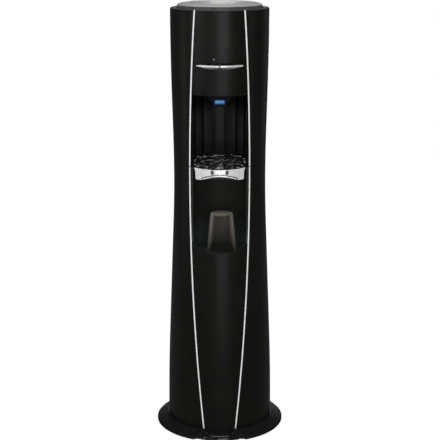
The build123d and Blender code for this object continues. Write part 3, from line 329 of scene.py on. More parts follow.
def upper_front_place(across, up):
    """Place on the upper front panel, whose rows follow the edges of the lever slot."""
    share = abs(across)
    height = lever_height
    for _ in range(settle_rounds):
        if share <= slot_columns:
            x = slot_half * share / slot_columns
        else:
            x = part_way(slot_half, front_half(height), (share - slot_columns) / (1 - slot_columns))
        if up <= rows_below_slot:
            height = part_way(front_low, slot_low(x), up / rows_below_slot)
        elif up <= rows_to_slot_top:
            in_slot = (up - rows_below_slot) / (rows_to_slot_top - rows_below_slot)
            height = part_way(slot_low(x), slot_high(x), in_slot)
        else:
            height = part_way(slot_high(x), shell_top, (up - rows_to_slot_top) / (1 - rows_to_slot_top))
    return front_point(x if across >= 0 else -x, height)


def upper_front_sheet():
    """Front panel with the lever slot cut through it."""
    mesh = wrapped_sheet(upper_front_place, away_from_axis, columns=64, rows=50)
    in_slot = []
    for face in mesh.faces:
        centre = face.calc_center_median() / MM
        inside_x = abs(centre.x) < slot_half - slot_margin
        if inside_x and slot_low(centre.x) < centre.z < slot_high(centre.x):
            in_slot.append(face)
    bmesh.ops.delete(mesh, geom=in_slot, context="FACES")
    return mesh


upper_front = new_piece(
    upper_front_sheet(), "upper_front_panel_smooth", "cabinet", ["upper_front_panel"]
)
thicken(upper_front, panel_wall, front_edge)


# Silver trims

def trim_strip(side, low, high, name):
    """Crowned strip along one trim line."""
    def place(across, up):
        height = part_way(low, high, up)
        crown = trim_crown * (1 - across**2)
        return front_point(side * (trim_x(height) + across * trim_half), height, crown)

    sheet = wrapped_sheet(place, away_from_axis, columns=8, rows=120)
    piece = new_piece(sheet, name + "_smooth", "cabinet", [name])
    thicken(piece, trim_depth)
    return piece


trim_runs = (
    ("lower", foot_height, lower_high - trim_seam_gap),
    ("upper", upper_low + trim_seam_gap, trim_top),
)
trims = [
    trim_strip(side, low, high, f"{hand}_{level}_trim")
    for level, low, high in trim_runs
    for side, hand in hands
]


# Ribs on the back of the alcove

rib_face = 65.2
rib_half = 11.6
rib_low = 724.0
rib_tall = 167.6
rib_turn = 27
rib_count = 5


def alcove_rib(turn, name):
    """Flat upright rib on the half-round back of the alcove."""
    across_rib = Vector((cos(turn), -sin(turn), 0))
    back = Vector((sin(turn), cos(turn), 0))

    def place(across, up):
        foot = Vector((0, alcove_middle, rib_low + up * rib_tall))
        return foot + back * rib_face + across_rib * across * rib_half

    def towards_middle(point):
        return -back

    sheet = wrapped_sheet(place, towards_middle, columns=2, rows=4)
    piece = new_piece(sheet, name, "cabinet")
    thicken(piece, wall=1.0, edge=0.7)
    return piece


ribs = [
    alcove_rib(radians(rib_turn * (step - rib_count // 2)), f"alcove_rib_{step + 1}")
    for step in range(rib_count)
]


# Drip grille

grille_half = 59.7
grille_top = 708.3
grille_thickness = 4.0
grille_columns = [-1.0, -0.93, -0.85, -0.6, -0.35, -0.09, 0.09, 0.35, 0.6, 0.85, 0.93, 1.0]
slot_pitch = 12.0
grille_slot_half = 3.4
slot_middles = [alcove_middle - row * slot_pitch for row in range(5, -4, -1)]
spine_share = 0.12
border_share = 0.84
grille_front = -95.5
back_rows = [16.0, 20.0, 24.0, 27.5, 30.0, 31.4]
slot_rows = [middle + edge for middle in slot_middles for edge in (-grille_slot_half, grille_slot_half)]
grille_rows = [grille_front] + slot_rows + back_rows


def grille_half_at(depth):
    """Half width of the grille at a depth, straight at the front and half-round at the back."""
    return grille_half if depth <= alcove_middle else sqrt(grille_half**2 - (depth - alcove_middle) ** 2)


def grille_place(across, up):
    """Place on the grille, on the lines that bound its slots."""
    column = round((across + 1) / 2 * (len(grille_columns) - 1))
    depth = grille_rows[round(up * (len(grille_rows) - 1))]
    return Vector((grille_columns[column] * grille_half_at(depth), depth, grille_top))


def grille_sheet():
    """Plate with rows of open slots on both sides of a middle spine."""
    mesh = wrapped_sheet(grille_place, upwards, columns=len(grille_columns) - 1, rows=len(grille_rows) - 1)
    open_faces = []
    for face in mesh.faces:
        centre = face.calc_center_median() / MM
        share = abs(centre.x) / grille_half_at(centre.y)
        in_row = any(abs(centre.y - middle) < 1 for middle in slot_middles)
        if in_row and spine_share < share < border_share:
            open_faces.append(face)
    bmesh.ops.delete(mesh, geom=open_faces, context="FACES")
    return mesh


grille = new_piece(grille_sheet(), "drip_grille_bars", "grille", ["drip_grille"])
thicken(grille, grille_thickness, edge=1.7)


# Tray front

fascia_radius = 118.6
fascia_low = 682.5
fascia_high = 710.5
fascia_half = 63.8
fascia_foot_half = 60.4
fascia_corner = 4.0
brow_end = 0.8
brow_dip = 2.6
arch_half = 43.0
arch_rise = 8.5
arch_margin = 1.5
bead_tall = 3.6
bead_proud = 1.4
groove_tall = 2.0
groove_deep = 0.9
pad_half = 16.5
pad_middle = 702.0
pad_half_tall = 4.6
pad_proud = 0.7
pad_lean = 0.12
pad_flatness = 0.6
dip_deep = 1.3
dip_half = 2.2
dip_from_pad = 1.0
dip_reach = 9.0


def fascia_foot(x):
    """Height of the fascia's lower edge at x."""
    return arc_height(x, arch_half, fascia_low, fascia_low + arch_rise)


def fascia_brow(x):
    """Height of the fascia's upper edge at x."""
    return arc_height(x, fascia_half, fascia_high + brow_end, fascia_high - brow_dip)


def arch_relief(x, above):
    """Bead along the arch and the groove over it, by the height above the lower edge."""
    if abs(x) >= arch_half + arch_margin or above > bead_tall + groove_tall:
        return 0.0
    if above <= bead_tall:
        return bead_proud * sqrt(max(0.0, 1 - (2 * above / bead_tall - 1) ** 2))
    return -groove_deep * sin(pi * (above - bead_tall) / groove_tall)


def pad_relief(x, rise):
    """Soft pad with a dip at each end, by the height over the pad's middle."""
    tall = rise / pad_half_tall
    if abs(tall) >= 1 or abs(x) >= pad_half + dip_reach:
        return 0.0
    relief = 0.0
    if abs(x) < pad_half:
        face = fascia_radius + pad_proud - pad_lean * rise
        outset = sqrt(face**2 + pad_flatness * x**2) - fascia_radius
        relief = outset * (1 - (x / pad_half) ** 4)
    relief -= dip_deep * exp(-(((abs(x) - pad_half - dip_from_pad) / dip_half) ** 2))
    return relief * (1 - tall**6)


def fascia_relief(x, height):
    """How far the fascia stands out from its drum."""
    return arch_relief(x, height - fascia_foot(x)) + pad_relief(x, height - pad_middle)


def fascia_place(across, up):
    """Place on the fascia, which widens to pointed upper corners."""
    half = part_way(fascia_foot_half, fascia_half, up**4)
    x = across * half
    corner = max(0.0, abs(x) - half + fascia_corner)
    low = fascia_foot(x) + fascia_corner - sqrt(fascia_corner**2 - corner**2)
    height = part_way(low, fascia_brow(x), up)
    return drum_point(x, height, fascia_radius + fascia_relief(x, height))


fascia = new_piece(
    wrapped_sheet(fascia_place, away_from_axis, columns=170, rows=60),
    "tray_front", "tray", ["tray_fascia"], crease=60,
)
thicken(fascia, wall=3.2, edge=0.5)

# Dark sheets on the fascia: painted shadow in the groove over the bead, painted shade in the nicks at its
# ends and in the dips by the pad
line_start = 0.5
line_run = 40.5
line_above = 3.5
line_thin = 0.8
line_growth = 1.6
end_beyond_arch = 0.4
end_half = 1.0
end_low = fascia_low + 0.2
end_tall = 5.5
dimple_from_pad = 2.2
dimple_half = 4.2
dimple_half_tall = 6.0
line_proud = 0.15
end_proud = 1.5
dimple_proud = 0.25


def painted_groove_shadow(side, name):
    """Painted shadow in the groove over the bead, thinning out towards the middle."""
    def place(across, up):
        x = side * (line_start + (across + 1) / 2 * line_run)
        tall = line_thin + line_growth * abs(x) / arch_half
        return drum_point(x, fascia_foot(x) + line_above + up * tall, fascia_radius + line_proud)

    sheet = wrapped_sheet(place, away_from_axis, columns=30, rows=2)
    piece = new_piece(sheet, name, "tray")
    thicken(piece, wall=1.4)
    return piece


def painted_notch_shade(side, name):
    """Small dark mark where the bead meets the straight lower edge, painted shade of a nick there."""
    def place(across, up):
        x = side * (arch_half + end_beyond_arch + across * end_half)
        return drum_point(x, end_low + up * end_tall, fascia_radius + end_proud)

    sheet = wrapped_sheet(place, away_from_axis, columns=2, rows=4)
    piece = new_piece(sheet, name, "tray")
    thicken(piece, wall=2.0)
    return piece


def painted_dimple_shade(side, name):
    """Dark upright oval at one end of the pad, painted shade in the dip there."""
    def place(across, up):
        rise = 2 * up - 1
        x = side * (pad_half + dimple_from_pad) + dimple_half * across * sqrt(1 - rise**2 / 2)
        height = pad_middle + dimple_half_tall * rise * sqrt(1 - across**2 / 2)
        return drum_point(x, height, fascia_radius + fascia_relief(x, height) + dimple_proud)

    sheet = wrapped_sheet(place, away_from_axis, columns=12, rows=12)
    piece = new_piece(sheet, name, "tray")
    thicken(piece, wall=1.0)
    return piece


shade_marks = [painted_groove_shadow(side, f"{hand}_painted_groove_shadow") for side, hand in hands]
shade_marks += [painted_notch_shade(side, f"{hand}_painted_notch_shade") for side, hand in hands]
dimple_shades = [painted_dimple_shade(side, f"{hand}_painted_dimple_shade") for side, hand in hands]


# Toe and notch at the foot of the front

toe_half = 49.0
toe_taper = 7.0
toe_inner_radius = 137.6
toe_front_middle = -50.0
toe_front_radius = 115.0
toe_low = 4.6
toe_rise = 18.0
toe_slope = 7.0
notch_inner_radius = 137.2
notch_run = 22.3
notch_inner_half = 60.0
notch_spread = 16.8
notch_high = 19.5
notch_low = 5.0
flare_run = 8.0
flare_start = 0.62
flare_share = 0.28


def toe_place(across, up):
    """Place on the toe, which slopes forwards and rolls down at its front and ends."""
    x = across * (toe_half - toe_taper * (1 - up))
    inner = -sqrt(toe_inner_radius**2 - x**2)
    outer = toe_front_middle - sqrt(toe_front_radius**2 - x**2)
    rise = toe_rise - toe_slope * up - (toe_rise - toe_slope) * up**8
    return Vector((x, part_way(inner, outer, up), toe_low + rise * (1 - across**10)))


def notch_place(across, up):
    """Place on the slope in the notch, whose ends flare out to the edge of the flange."""
    flare = flare_run * min(1.0, max(0.0, (abs(across) - flare_start) / flare_share)) ** 2
    x = across * (notch_inner_half + notch_spread * up)
    height = part_way(notch_high, notch_low, up)
    return drum_point(x, height, notch_inner_radius + (notch_run + flare) * up)


toe = new_piece(
    wrapped_sheet(toe_place, front_and_up, columns=60, rows=30),
    "rounded_toe", "cabinet", ["toe_lip"],
)
thicken(toe, wall=2.0)
notch_slope = new_piece(
    wrapped_sheet(notch_place, front_and_up, columns=40, rows=8), "notch_slope", "cabinet"
)
thicken(notch_slope, wall=1.6, edge=0.5)


# Cup, from the top of its base down the outside and up the inside

cup_low = 490.3
cup_middle = (5.0, -62.0)
cup_outline = [
    (0.0, 97.0), (24.5, 97.0), (26.4, 96.7), (27.9, 95.8), (28.9, 94.0), (29.3, 90.0), (33.4, 47.0),
    (37.1, 6.0), (37.8, 3.4), (38.0, 2.0), (37.9, 0.7), (37.2, 0.1), (36.6, 0.1), (36.0, 0.9),
    (31.8, 47.0), (27.8, 88.0), (27.0, 92.2), (25.2, 93.7), (22.0, 94.0), (0.0, 94.0),
]
cup_profile = [(radius, cup_low + rise) for radius, rise in cup_outline]
tumbler = new_piece(turned(cup_profile, cup_middle), "tumbler", "cup", ["cup"])


# Lid, from the top of its dome over the rolled edge to the underside

lid_profile = [
    (0.0, 1116.2), (30.0, 1116.0), (55.0, 1115.4), (72.0, 1114.5), (84.0, 1113.4), (92.5, 1112.1),
    (98.5, 1110.7), (103.0, 1109.2), (106.0, 1107.9), (107.4, 1106.9), (107.6, 1106.0), (106.4, 1104.3),
    (99.3, 1104.3), (99.3, 1101.4), (97.3, 1101.4), (96.6, 1105.4), (92.0, 1108.6), (80.0, 1111.2),
    (50.0, 1113.2), (0.0, 1113.8),
]
lid = new_piece(turned(lid_profile, (0.0, 0.0), steps=128), "domed_lid", "lid", ["top_lid"])


# Finishes

shade_stops = (0.3, 0.7)
plastic_edge = 0.5
plastic_sway = 0.05
blotch_scale = 14.0
blotch_dark = 0.82
blotch_light = 1.18
gloss_scale = 35.0
metal_edge = 0.4
metal_sway = 0.06
streak_share = 0.4
streak_dark = 0.93
streak_light = 1.05
drawn_upright = (1, 1, 0.1)
# Painted glints on the drip grille and tray: pattern, view angles and faces where the bright dashes are
# painted
dash_scale = 100.0
dash_stretch = (0.6, 0.9, 2.2)
dash_edge = (0.56, 0.62)
low_angle = (0.61, 0.72)
low_angle_shine = (0.06, 1.0)
facing_up = (0.5, 0.8)
facing_front = (-0.3, -0.7)
flat_fade = 5.0
wall_fade = 3.0
wall_share = 0.15
ring_scale = 55.0
# Where the painted shade on the levers starts: below the band, above it, and by the gap between the levers
lever_band_foot = (lever_height - 2.5, lever_height - 1.2)
lever_band_head = (lever_height + 2.8, lever_height + 1.4)
lever_inner_end = (0.9, 2.8)
lever_grain = 700.0
window_left = (-12.6, -9.4)
window_right = (12.6, 8.4)
window_foot = (873.0, 876.2)
window_head = (882.8, 878.9)
cup_turn = (0.25, 1.0)
cup_haze = (0.03, 0.8)
cup_foot_shade_rise = (498.0, 555.0)


def tinted(colour, share):
    """Colour made darker or lighter."""
    return tuple(min(1.0, share * part) for part in colour)


class Finish:
    """Principled finish on Object coordinates with named helpers for its patterns."""

    def __init__(self, name):
        self.material = bpy.data.materials.new(name)
        self.material.use_nodes = True
        self.tree = self.material.node_tree
        self.shader = self.tree.nodes["Principled BSDF"]
        self.place = self.node("ShaderNodeTexCoord").outputs["Object"]

    def node(self, kind, **values):
        """New node with the given settings."""
        made = self.tree.nodes.new(kind)
        for key, value in values.items():
            setattr(made, key, value)
        return made

    def join(self, start, end):
        """Link an output to an input."""
        self.tree.links.new(start, end)

    def give(self, name, value):
        """Set an input of the shader to a pattern, a colour or a number."""
        end = self.shader.inputs[name]
        if isinstance(value, bpy.types.NodeSocket):
            self.join(value, end)
        elif isinstance(value, tuple):
            end.default_value = (*value, 1)
        else:
            end.default_value = value

    def noise(self, scale, detail=3.0, stretch=(1, 1, 1)):
        """Cloudy pattern, drawn out along an axis whose stretch is small."""
        spread = self.node("ShaderNodeMapping")
        spread.inputs["Scale"].default_value = stretch
        self.join(self.place, spread.inputs["Vector"])
        grain = self.node("ShaderNodeTexNoise")
        grain.inputs["Scale"].default_value = scale
        grain.inputs["Detail"].default_value = detail
        self.join(spread.outputs["Vector"], grain.inputs["Vector"])
        return grain.outputs["Fac"]

    def remap(self, amount, start, end, low=0.0, high=1.0):
        """Pattern that goes from low to high while another goes from start to end."""
        step = self.node("ShaderNodeMapRange")
        step.inputs["From Min"].default_value = start
        step.inputs["From Max"].default_value = end
        step.inputs["To Min"].default_value = low
        step.inputs["To Max"].default_value = high
        self.join(amount, step.inputs["Value"])
        return step.outputs["Result"]

    def between(self, amount, low, high):
        """Pattern that goes from low to high while another goes from 0 to 1."""
        return self.remap(amount, 0.0, 1.0, low, high)

    def axis_part(self, vector, axis):
        """One part of a vector."""
        split = self.node("ShaderNodeSeparateXYZ")
        self.join(vector, split.inputs["Vector"])
        return split.outputs[axis]

    def along(self, axis, low, high):
        """From 0 to 1 as the place along an axis goes from one to the other value in millimetres."""
        return self.remap(self.axis_part(self.place, axis), low * MM, high * MM)

    def facing(self, axis, low, high):
        """From 0 to 1 as the surface turns towards an axis."""
        normal = self.node("ShaderNodeNewGeometry").outputs["Normal"]
        return self.remap(self.axis_part(normal, axis), low, high)

    def grazing(self, start, end, low, high):
        """From low to high as the surface is looked at more and more from its edge."""
        turn = self.node("ShaderNodeLayerWeight")
        turn.inputs["Blend"].default_value = 0.5
        return self.remap(turn.outputs["Facing"], start, end, low, high)

    def maths(self, operation, first, second):
        """One pattern from two."""
        step = self.node("ShaderNodeMath", operation=operation)
        self.join(first, step.inputs[0])
        self.join(second, step.inputs[1])
        return step.outputs["Value"]

    def times(self, first, second):
        """Product of two patterns."""
        return self.maths("MULTIPLY", first, second)

    def blend(self, amount, low, high):
        """Mix of two colours or coloured patterns."""
        mix = self.node("ShaderNodeMix", data_type="RGBA")
        self.join(amount, mix.inputs["Factor"])
        for end, colour in (("A", low), ("B", high)):
            side = next(s for s in mix.inputs if s.name == end and s.type == "RGBA")
            if isinstance(colour, tuple):
                side.default_value = (*colour, 1)
            else:
                self.join(colour, side)
        return next(s for s in mix.outputs if s.type == "RGBA")

    def shades(self, amount, dark, light):
        """Colour that goes from dark to light over the middle of a pattern."""
        ramp = self.node("ShaderNodeValToRGB")
        stops = ramp.color_ramp.elements
        for stop, position, colour in zip(stops, shade_stops, (dark, light)):
            stop.position = position
            stop.color = (*colour, 1)
        self.join(amount, ramp.inputs["Fac"])
        return ramp.outputs["Color"]

    def relief(self, amount, depth, edge=0.0):
        """Bump of a depth in millimetres, over edges rounded by a radius."""
        bump = self.node("ShaderNodeBump")
        bump.inputs["Strength"].default_value = 1.0
        bump.inputs["Distance"].default_value = depth * MM
        self.join(amount, bump.inputs["Height"])
        if edge:
            round_edge = self.node("ShaderNodeBevel", samples=4)
            round_edge.inputs["Radius"].default_value = edge * MM
            self.join(round_edge.outputs["Normal"], bump.inputs["Normal"])
        self.give("Normal", bump.outputs["Normal"])


def moulded_plastic(name, colour, roughness, specular, grain=900.0, depth=0.02, low_shade=None):
    """Plastic with a fine moulded grain and a little uneven gloss, in another colour lower down if asked."""
    look = Finish(name)
    paint = look.shades(look.noise(blotch_scale), tinted(colour, blotch_dark), tinted(colour, blotch_light))
    if low_shade:
        low_colour, low, high = low_shade
        paint = look.blend(look.along("Z", low, high), low_colour, paint)
    gloss = look.noise(gloss_scale, 4.0)
    look.give("Base Color", paint)
    look.give("Roughness", look.between(gloss, roughness - plastic_sway, roughness + plastic_sway))
    look.give("Specular IOR Level", specular)
    look.relief(look.noise(grain, 2.0), depth, plastic_edge)
    return look.material


def metal(name, colour, roughness, metallic=1.0, stretch=(1, 1, 1), grain=700.0, depth=0.01):
    """Bare or painted metal with a fine drawn grain."""
    look = Finish(name)
    streaks = look.noise(streak_share * grain, stretch=stretch)
    look.give("Base Color", look.shades(streaks, tinted(colour, streak_dark), tinted(colour, streak_light)))
    gloss = look.noise(grain, stretch=stretch)
    look.give("Roughness", look.between(gloss, roughness - metal_sway, roughness + metal_sway))
    look.give("Metallic", metallic)
    look.relief(look.noise(grain, 2.0, stretch), depth, metal_edge)
    return look.material


def black_with_painted_glints(name, flat_from, wall_from):
    """Gloss black with painted glints: bright dashes painted on level faces seen at a low angle, and faintly
    on walls to the front.
    """
    look = Finish(name)
    dashes = look.noise(dash_scale, stretch=dash_stretch)
    level = look.times(look.grazing(*low_angle, *low_angle_shine), look.facing("Z", *facing_up))
    flat = look.times(level, look.along("Z", flat_from, flat_from + flat_fade))
    wall_rise = look.between(look.along("Z", wall_from, wall_from + wall_fade), 0.0, wall_share)
    wall = look.times(look.facing("Y", *facing_front), wall_rise)
    share = look.times(look.remap(dashes, *dash_edge), look.maths("MAXIMUM", flat, wall))
    look.give("Base Color", look.blend(share, (0.006, 0.006, 0.006), (0.95, 0.95, 0.95)))
    look.give("Metallic", look.between(share, 0.0, 0.9))
    look.give("Roughness", look.between(look.noise(300.0), 0.08, 0.18))
    look.give("Specular IOR Level", 0.2)
    look.relief(dashes, depth=2.4)
    return look.material


def spun_silver(name, colour, underside_shade, low, high):
    """Silver turned on a lathe: faint rings round the upright axis, and painted shade under the rolled edge.
    """
    look = Finish(name)
    wave = look.node("ShaderNodeTexWave", wave_type="RINGS", rings_direction="Z")
    wave.inputs["Scale"].default_value = ring_scale
    wave.inputs["Distortion"].default_value = 0.8
    wave.inputs["Detail"].default_value = 3.0
    look.join(look.place, wave.inputs["Vector"])
    rings = wave.outputs["Fac"]
    silver = look.shades(rings, tinted(colour, 0.9), colour)
    around = look.node("ShaderNodeTangent", direction_type="RADIAL", axis="Z")
    look.give("Base Color", look.blend(look.along("Z", low, high), underside_shade, silver))
    look.give("Roughness", look.between(rings, 0.36, 0.28))
    look.give("Metallic", 0.4)
    look.give("Anisotropic", 0.8)
    look.give("Anisotropic Rotation", 0.25)
    look.give("Tangent", around.outputs["Tangent"])
    return look.material


def lever_with_painted_shade(name, side, colour, painted_shade):
    """Silver band along the middle of the lever's edge, with painted shade above and below it and at its
    inner end by the gap.
    """
    look = Finish(name)
    above_foot = look.along("Z", *lever_band_foot)
    below_head = look.along("Z", *lever_band_head)
    from_inner_end = look.along("X", *(side * x for x in lever_inner_end))
    band = look.times(look.times(above_foot, below_head), from_inner_end)
    streaks = look.noise(streak_share * lever_grain, stretch=drawn_upright)
    paint = look.shades(streaks, tinted(colour, streak_dark), colour)
    look.give("Base Color", look.blend(band, painted_shade, paint))
    look.give("Roughness", look.between(look.noise(lever_grain, stretch=drawn_upright), 0.26, 0.38))
    look.give("Metallic", look.between(band, 0.0, 0.45))
    look.give("Specular IOR Level", look.between(band, 0.05, 0.5))
    look.relief(look.noise(lever_grain, 2.0, drawn_upright), 0.004, metal_edge)
    return look.material


def lit_window(name, colour, glow, strength):
    """Window lit from behind, a little uneven and darker towards its edges."""
    look = Finish(name)
    lit = look.shades(look.noise(60.0), tinted(glow, 0.85), glow)
    ends = look.times(look.along("X", *window_left), look.along("X", *window_right))
    rise = look.times(look.along("Z", *window_foot), look.along("Z", *window_head))
    look.give("Emission Color", look.blend(look.times(ends, rise), tinted(glow, 0.06), lit))
    look.give("Emission Strength", strength)
    look.give("Base Color", colour)
    look.give("Roughness", look.between(look.noise(120.0), 0.14, 0.22))
    look.give("Specular IOR Level", 0.08)
    return look.material


def smoked_clear(name, haze, tint):
    """Thin smoked plastic: clear looked through squarely, hazy at its edges, with painted shade fading the
    haze out at its foot.
    """
    look = Finish(name)
    look.give("Base Color", look.shades(look.noise(30.0, stretch=(1, 1, 0.2)), tinted(haze, 0.8), haze))
    look.give("Roughness", look.between(look.noise(160.0, 4.0), 0.16, 0.30))
    clear = look.node("ShaderNodeBsdfTransparent")
    clear.inputs["Color"].default_value = (*tint, 1)
    edge = look.grazing(*cup_turn, *cup_haze)
    # Less haze low down lets the dark niche show through the foot: painted shade
    rise = look.remap(look.along("Z", *cup_foot_shade_rise), 0.0, 1.0)
    look.join(edge, rise.node.inputs["To Min"])
    mix = look.node("ShaderNodeMixShader")
    look.join(look.times(edge, rise), mix.inputs["Fac"])
    look.join(clear.outputs["BSDF"], mix.inputs[1])
    look.join(look.shader.outputs["BSDF"], mix.inputs[2])
    look.join(mix.outputs["Shader"], look.tree.nodes["Material Output"].inputs["Surface"])
    return look.material


finishes = {
    "satin_black": moulded_plastic("satin black plastic", (0.0051, 0.0059, 0.0045), 0.33, 0.19, depth=0.003),
    "gloss_black": moulded_plastic(
        "gloss black plastic", (0.005, 0.005, 0.0052), 0.13, 0.45, grain=200.0, depth=0.004
    ),
    "matte_black": moulded_plastic(
        "textured black plastic", (0.0062, 0.0064, 0.0064), 0.6, 0.2, grain=1400.0, depth=0.06
    ),
    "silver": metal(
        "silver paint", (0.80, 0.80, 0.80), 0.32, metallic=0.45, stretch=drawn_upright, depth=0.004
    ),
    "clear_cup": smoked_clear("smoked tumbler", (0.52, 0.49, 0.44), (0.86, 0.84, 0.80)),
    "blue_lens": lit_window("lit blue window", (0.006, 0.02, 0.05), (0.105, 0.27, 0.58), 0.95),
    "lamp_lens": moulded_plastic("pale lamp lens", (0.16, 0.165, 0.16), 0.3, 0.3, depth=0.002),
    "rubber": moulded_plastic("black rubber", (0.012, 0.012, 0.012), 0.75, 0.2, depth=0.05),
    "stainless": metal("drawn stainless steel", (0.60, 0.60, 0.61), 0.28, stretch=drawn_upright),
    "galvanised": metal("galvanised sheet", (0.50, 0.51, 0.53), 0.42, grain=90.0),
    "screw_steel": metal("dark plated screws", (0.12, 0.12, 0.125), 0.35),
    "white_plastic": moulded_plastic("white plastic", (0.74, 0.74, 0.73), 0.4, 0.4),
    "foam": moulded_plastic("insulating foam", (0.70, 0.65, 0.52), 0.85, 0.15, grain=260.0, depth=0.5),
    "silicone": moulded_plastic("silicone hose", (0.62, 0.62, 0.60), 0.45, 0.4),
    "compressor_black": moulded_plastic("black enamel", (0.015, 0.015, 0.016), 0.35, 0.4, grain=300.0),
    "copper": metal("bare copper", (0.75, 0.36, 0.22), 0.3),
    "board_green": moulded_plastic("circuit board", (0.02, 0.12, 0.05), 0.4, 0.4),
    "hot_red": moulded_plastic("red rocker", (0.40, 0.015, 0.015), 0.28, 0.4),
    "cold_blue": moulded_plastic("blue rocker", (0.02, 0.08, 0.36), 0.28, 0.4),
}
trim_silver = metal(
    "bright silver paint", (0.86, 0.86, 0.86), 0.3, metallic=0.12, stretch=drawn_upright, depth=0.003
)
fascia_silver = metal(
    "brushed silver", (0.95, 0.95, 0.95), 0.22, metallic=0.45, stretch=(1, 1, 0.06), grain=500.0, depth=0.006
)
# The dark grey below the lid's rolled edge is painted shade
lid_silver = spun_silver("spun silver lid", (0.70, 0.69, 0.68), (0.2, 0.2, 0.2), low=1105.0, high=1108.0)
# Ribs get a lighter copy of the alcove plastic and the liner between them a darker one: painted light on the
# ribs, painted shade in the grooves
rib_satin_painted_light = moulded_plastic("alcove rib plastic, painted lighter", (0.0076, 0.0078, 0.0074), 0.42, 0.1, depth=0.003)
liner_painted_shade = moulded_plastic("alcove liner plastic, painted shade", (0.0016, 0.0016, 0.0017), 0.45, 0.1, depth=0.003)
hood_dark = moulded_plastic("dark hood plastic", (0.0018, 0.0026, 0.0080), 0.5, 0.06, depth=0.003)
# Grey of the dark ovals beside the pad: painted shade
dimple_shade_grey = moulded_plastic("painted dimple shade", (0.085, 0.085, 0.085), 0.4, 0.3, depth=0.003)
# The niche is painted lighter and teal-tinted towards its foot: painted light
niche_foot_painted_light = ((0.034, 0.046, 0.044), 515.0, 570.0)
niche_satin = moulded_plastic(
    "niche satin plastic", (0.019, 0.020, 0.018), 0.5, 0.1, depth=0.003, low_shade=niche_foot_painted_light
)
graphite = (0.075, 0.075, 0.075)
collar_graphite = moulded_plastic("graphite collar plastic", graphite, 0.28, 0.5, depth=0.003)
# The top ring is near black below; the lighter graphite band along its top edge is a painted highlight
rim_skirt = ((0.006, 0.0065, 0.0055), 1097.6, 1099.2)
rim_with_painted_highlight = moulded_plastic(
    "black rim plastic with painted highlight", graphite, 0.3, 0.3, depth=0.003, low_shade=rim_skirt
)
glint_painted_black = black_with_painted_glints("gloss black with painted glints", flat_from=698.0, wall_from=709.0)
lever_silver = (0.90, 0.90, 0.90)
lever_painted_shade = (0.008, 0.008, 0.008)


def dress(finish, *pieces):
    """Give pieces one finish."""
    for piece in pieces:
        piece.data.materials.clear()
        piece.data.materials.append(finish)


for row in frame["record"]["subparts"]:
    dress(finishes[row["material_slot"]], nodes[row["node"]])
dress(finishes["satin_black"], *side_panels, lower_front, upper_shell, upper_front)
dress(finishes["gloss_black"], toe)
dress(finishes["matte_black"], notch_slope, *shade_marks)
dress(finishes["clear_cup"], tumbler)
dress(trim_silver, *trims)
dress(fascia_silver, fascia)
dress(lid_silver, lid)
dress(rib_satin_painted_light, *ribs)
dress(liner_painted_shade, nodes["alcove_liner"])
dress(hood_dark, nodes["spout_hood"])
dress(niche_satin, nodes["cup_niche"])
dress(dimple_shade_grey, *dimple_shades)
dress(glint_painted_black, grille, nodes["drip_tray"])
dress(collar_graphite, nodes["bottle_collar"])
dress(rim_with_painted_highlight, nodes["top_ring"])
for side, lever in ((-1, "hot_lever"), (1, "cold_lever")):
    dress(lever_with_painted_shade(f"{lever} with a silver band and painted shade", side, lever_silver, lever_painted_shade), nodes[lever])


# Studio, in metres: pale floor, white surround and soft lamps

floor_radius = 2.4
floor_grey = 0.85
floor_glow = 1.08
floor_glow_share = 0.85
floor_mirrored = 0.1
surround_white = 1.0
surround_fill = 0.6
surround_mirrored = 0.065


def white_light(tree, kind, strength):
    """Output of a white emission or background."""
    node = tree.nodes.new(kind)
    node.inputs["Color"].default_value = (1, 1, 1, 1)
    node.inputs["Strength"].default_value = strength
    return node.outputs[0]


def show_by_ray(tree, kind, plain, mirrored, seen, seen_share=1.0):
    """End a node tree with one shader for what the camera sees, one for mirrors and one for the rest."""
    light = tree.nodes.new("ShaderNodeLightPath")
    direct = tree.nodes.new("ShaderNodeMath")
    direct.operation = "MAXIMUM"
    tree.links.new(light.outputs["Is Camera Ray"], direct.inputs[0])
    tree.links.new(light.outputs["Is Transmission Ray"], direct.inputs[1])
    share = tree.nodes.new("ShaderNodeMath")
    share.operation = "MULTIPLY"
    share.inputs[1].default_value = seen_share
    tree.links.new(direct.outputs[0], share.inputs[0])
    unseen = tree.nodes.new("ShaderNodeMixShader")
    tree.links.new(light.outputs["Is Glossy Ray"], unseen.inputs["Fac"])
    tree.links.new(plain, unseen.inputs[1])
    tree.links.new(mirrored, unseen.inputs[2])
    mix = tree.nodes.new("ShaderNodeMixShader")
    tree.links.new(share.outputs[0], mix.inputs["Fac"])
    tree.links.new(unseen.outputs[0], mix.inputs[1])
    tree.links.new(seen, mix.inputs[2])
    out = tree.nodes.new(kind)
    tree.links.new(mix.outputs[0], out.inputs["Surface"])


def pale_floor():
    """Round white floor that keeps the shadow and runs out into the white surround."""
    mesh = bmesh.new()
    bmesh.ops.create_circle(mesh, cap_ends=True, cap_tris=False, segments=96, radius=floor_radius)
    data = bpy.data.meshes.new("floor")
    mesh.to_mesh(data)
    mesh.free()
    floor = bpy.data.objects.new("floor", data)
    scene.collection.objects.link(floor)
    look = bpy.data.materials.new("pale floor")
    look.use_nodes = True
    tree = look.node_tree
    tree.nodes.clear()
    paint = tree.nodes.new("ShaderNodeBsdfDiffuse")
    paint.inputs["Color"].default_value = (floor_grey, floor_grey, floor_grey, 1)
    glow = white_light(tree, "ShaderNodeEmission", floor_glow)
    dull = white_light(tree, "ShaderNodeEmission", floor_mirrored)
    show_by_ray(tree, "ShaderNodeOutputMaterial", paint.outputs[0], dull, glow, floor_glow_share)
    data.materials.append(look)


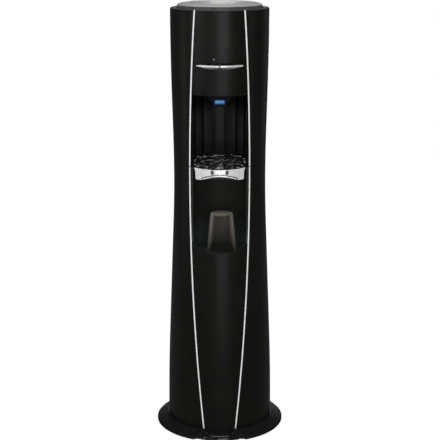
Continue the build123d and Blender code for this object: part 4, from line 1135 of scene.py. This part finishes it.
def white_surround():
    """World that is white behind the object, dim in mirrors and a soft fill for everything else."""
    world = bpy.data.worlds.new("white surround")
    scene.world = world
    world.use_nodes = True
    tree = world.node_tree
    tree.nodes.clear()
    fill = white_light(tree, "ShaderNodeBackground", surround_fill)
    dim = white_light(tree, "ShaderNodeBackground", surround_mirrored)
    white = white_light(tree, "ShaderNodeBackground", surround_white)
    show_by_ray(tree, "ShaderNodeOutputWorld", fill, dim, white)


def softbox(name, place, target, wide, tall, power):
    """Rectangular soft lamp aimed at a point."""
    data = bpy.data.lights.new(name, "AREA")
    data.shape = "RECTANGLE"
    data.size = wide
    data.size_y = tall
    data.energy = power
    lamp = bpy.data.objects.new(name, data)
    lamp.location = place
    lamp.rotation_euler = (Vector(target) - Vector(place)).to_track_quat("-Z", "Y").to_euler()
    scene.collection.objects.link(lamp)


pale_floor()
white_surround()
softbox("front softbox", (0.45, -3.2, 0.98), (0, 0, 0.8), wide=1.4, tall=0.95, power=16)
softbox("left softbox", (-2.8, 0.15, 0.9), (0, 0, 0.6), wide=0.5, tall=1.6, power=2.4)
softbox("left front softbox", (-2.2, -1.7, 1.2), (0, 0, 0.6), wide=1.5, tall=1.6, power=9)
softbox("front fill softbox", (-1.1, -2.9, 0.8), (0, 0, 0.7), wide=1.0, tall=1.4, power=2.4)
softbox("right softbox", (2.8, -0.7, 0.9), (0, 0, 0.6), wide=0.4, tall=1.6, power=1.6)
softbox("right back softbox", (2.2, 2.2, 0.9), (0, 0, 0.6), wide=0.5, tall=1.6, power=0.6)
softbox("low front softbox", (0.2, -2.2, 0.08), (0, 0, 0.3), wide=0.8, tall=0.12, power=2.2)
softbox("lid softbox", (0.02, 3.1, 1.85), (0, 0, 1.1), wide=0.22, tall=0.6, power=1.3)
softbox("top softbox", (0, -1.3, 2.7), (0, 0, 0.8), wide=1.6, tall=1.0, power=14)
softbox("back softbox", (0.1, 3.1, 0.7), (0, 0, 0.6), wide=1.2, tall=0.9, power=22)
softbox("alcove lamp", (0, -0.075, 0.852), (0, -0.07, 0.7), wide=0.11, tall=0.04, power=0.26)


# Camera, in metres and degrees

camera_place = (0.0008, -2.94, 1.28)
camera_down = 13.9
camera_focus = 95.0
camera_sensor = 36.0

lens = bpy.data.cameras.new("camera")
lens.sensor_width = camera_sensor
lens.lens = camera_focus
camera = bpy.data.objects.new("camera", lens)
camera.location = camera_place
camera.rotation_euler = (radians(90 - camera_down), 0, 0)
scene.collection.objects.link(camera)
scene.camera = camera
scene.view_settings.view_transform = "Standard"
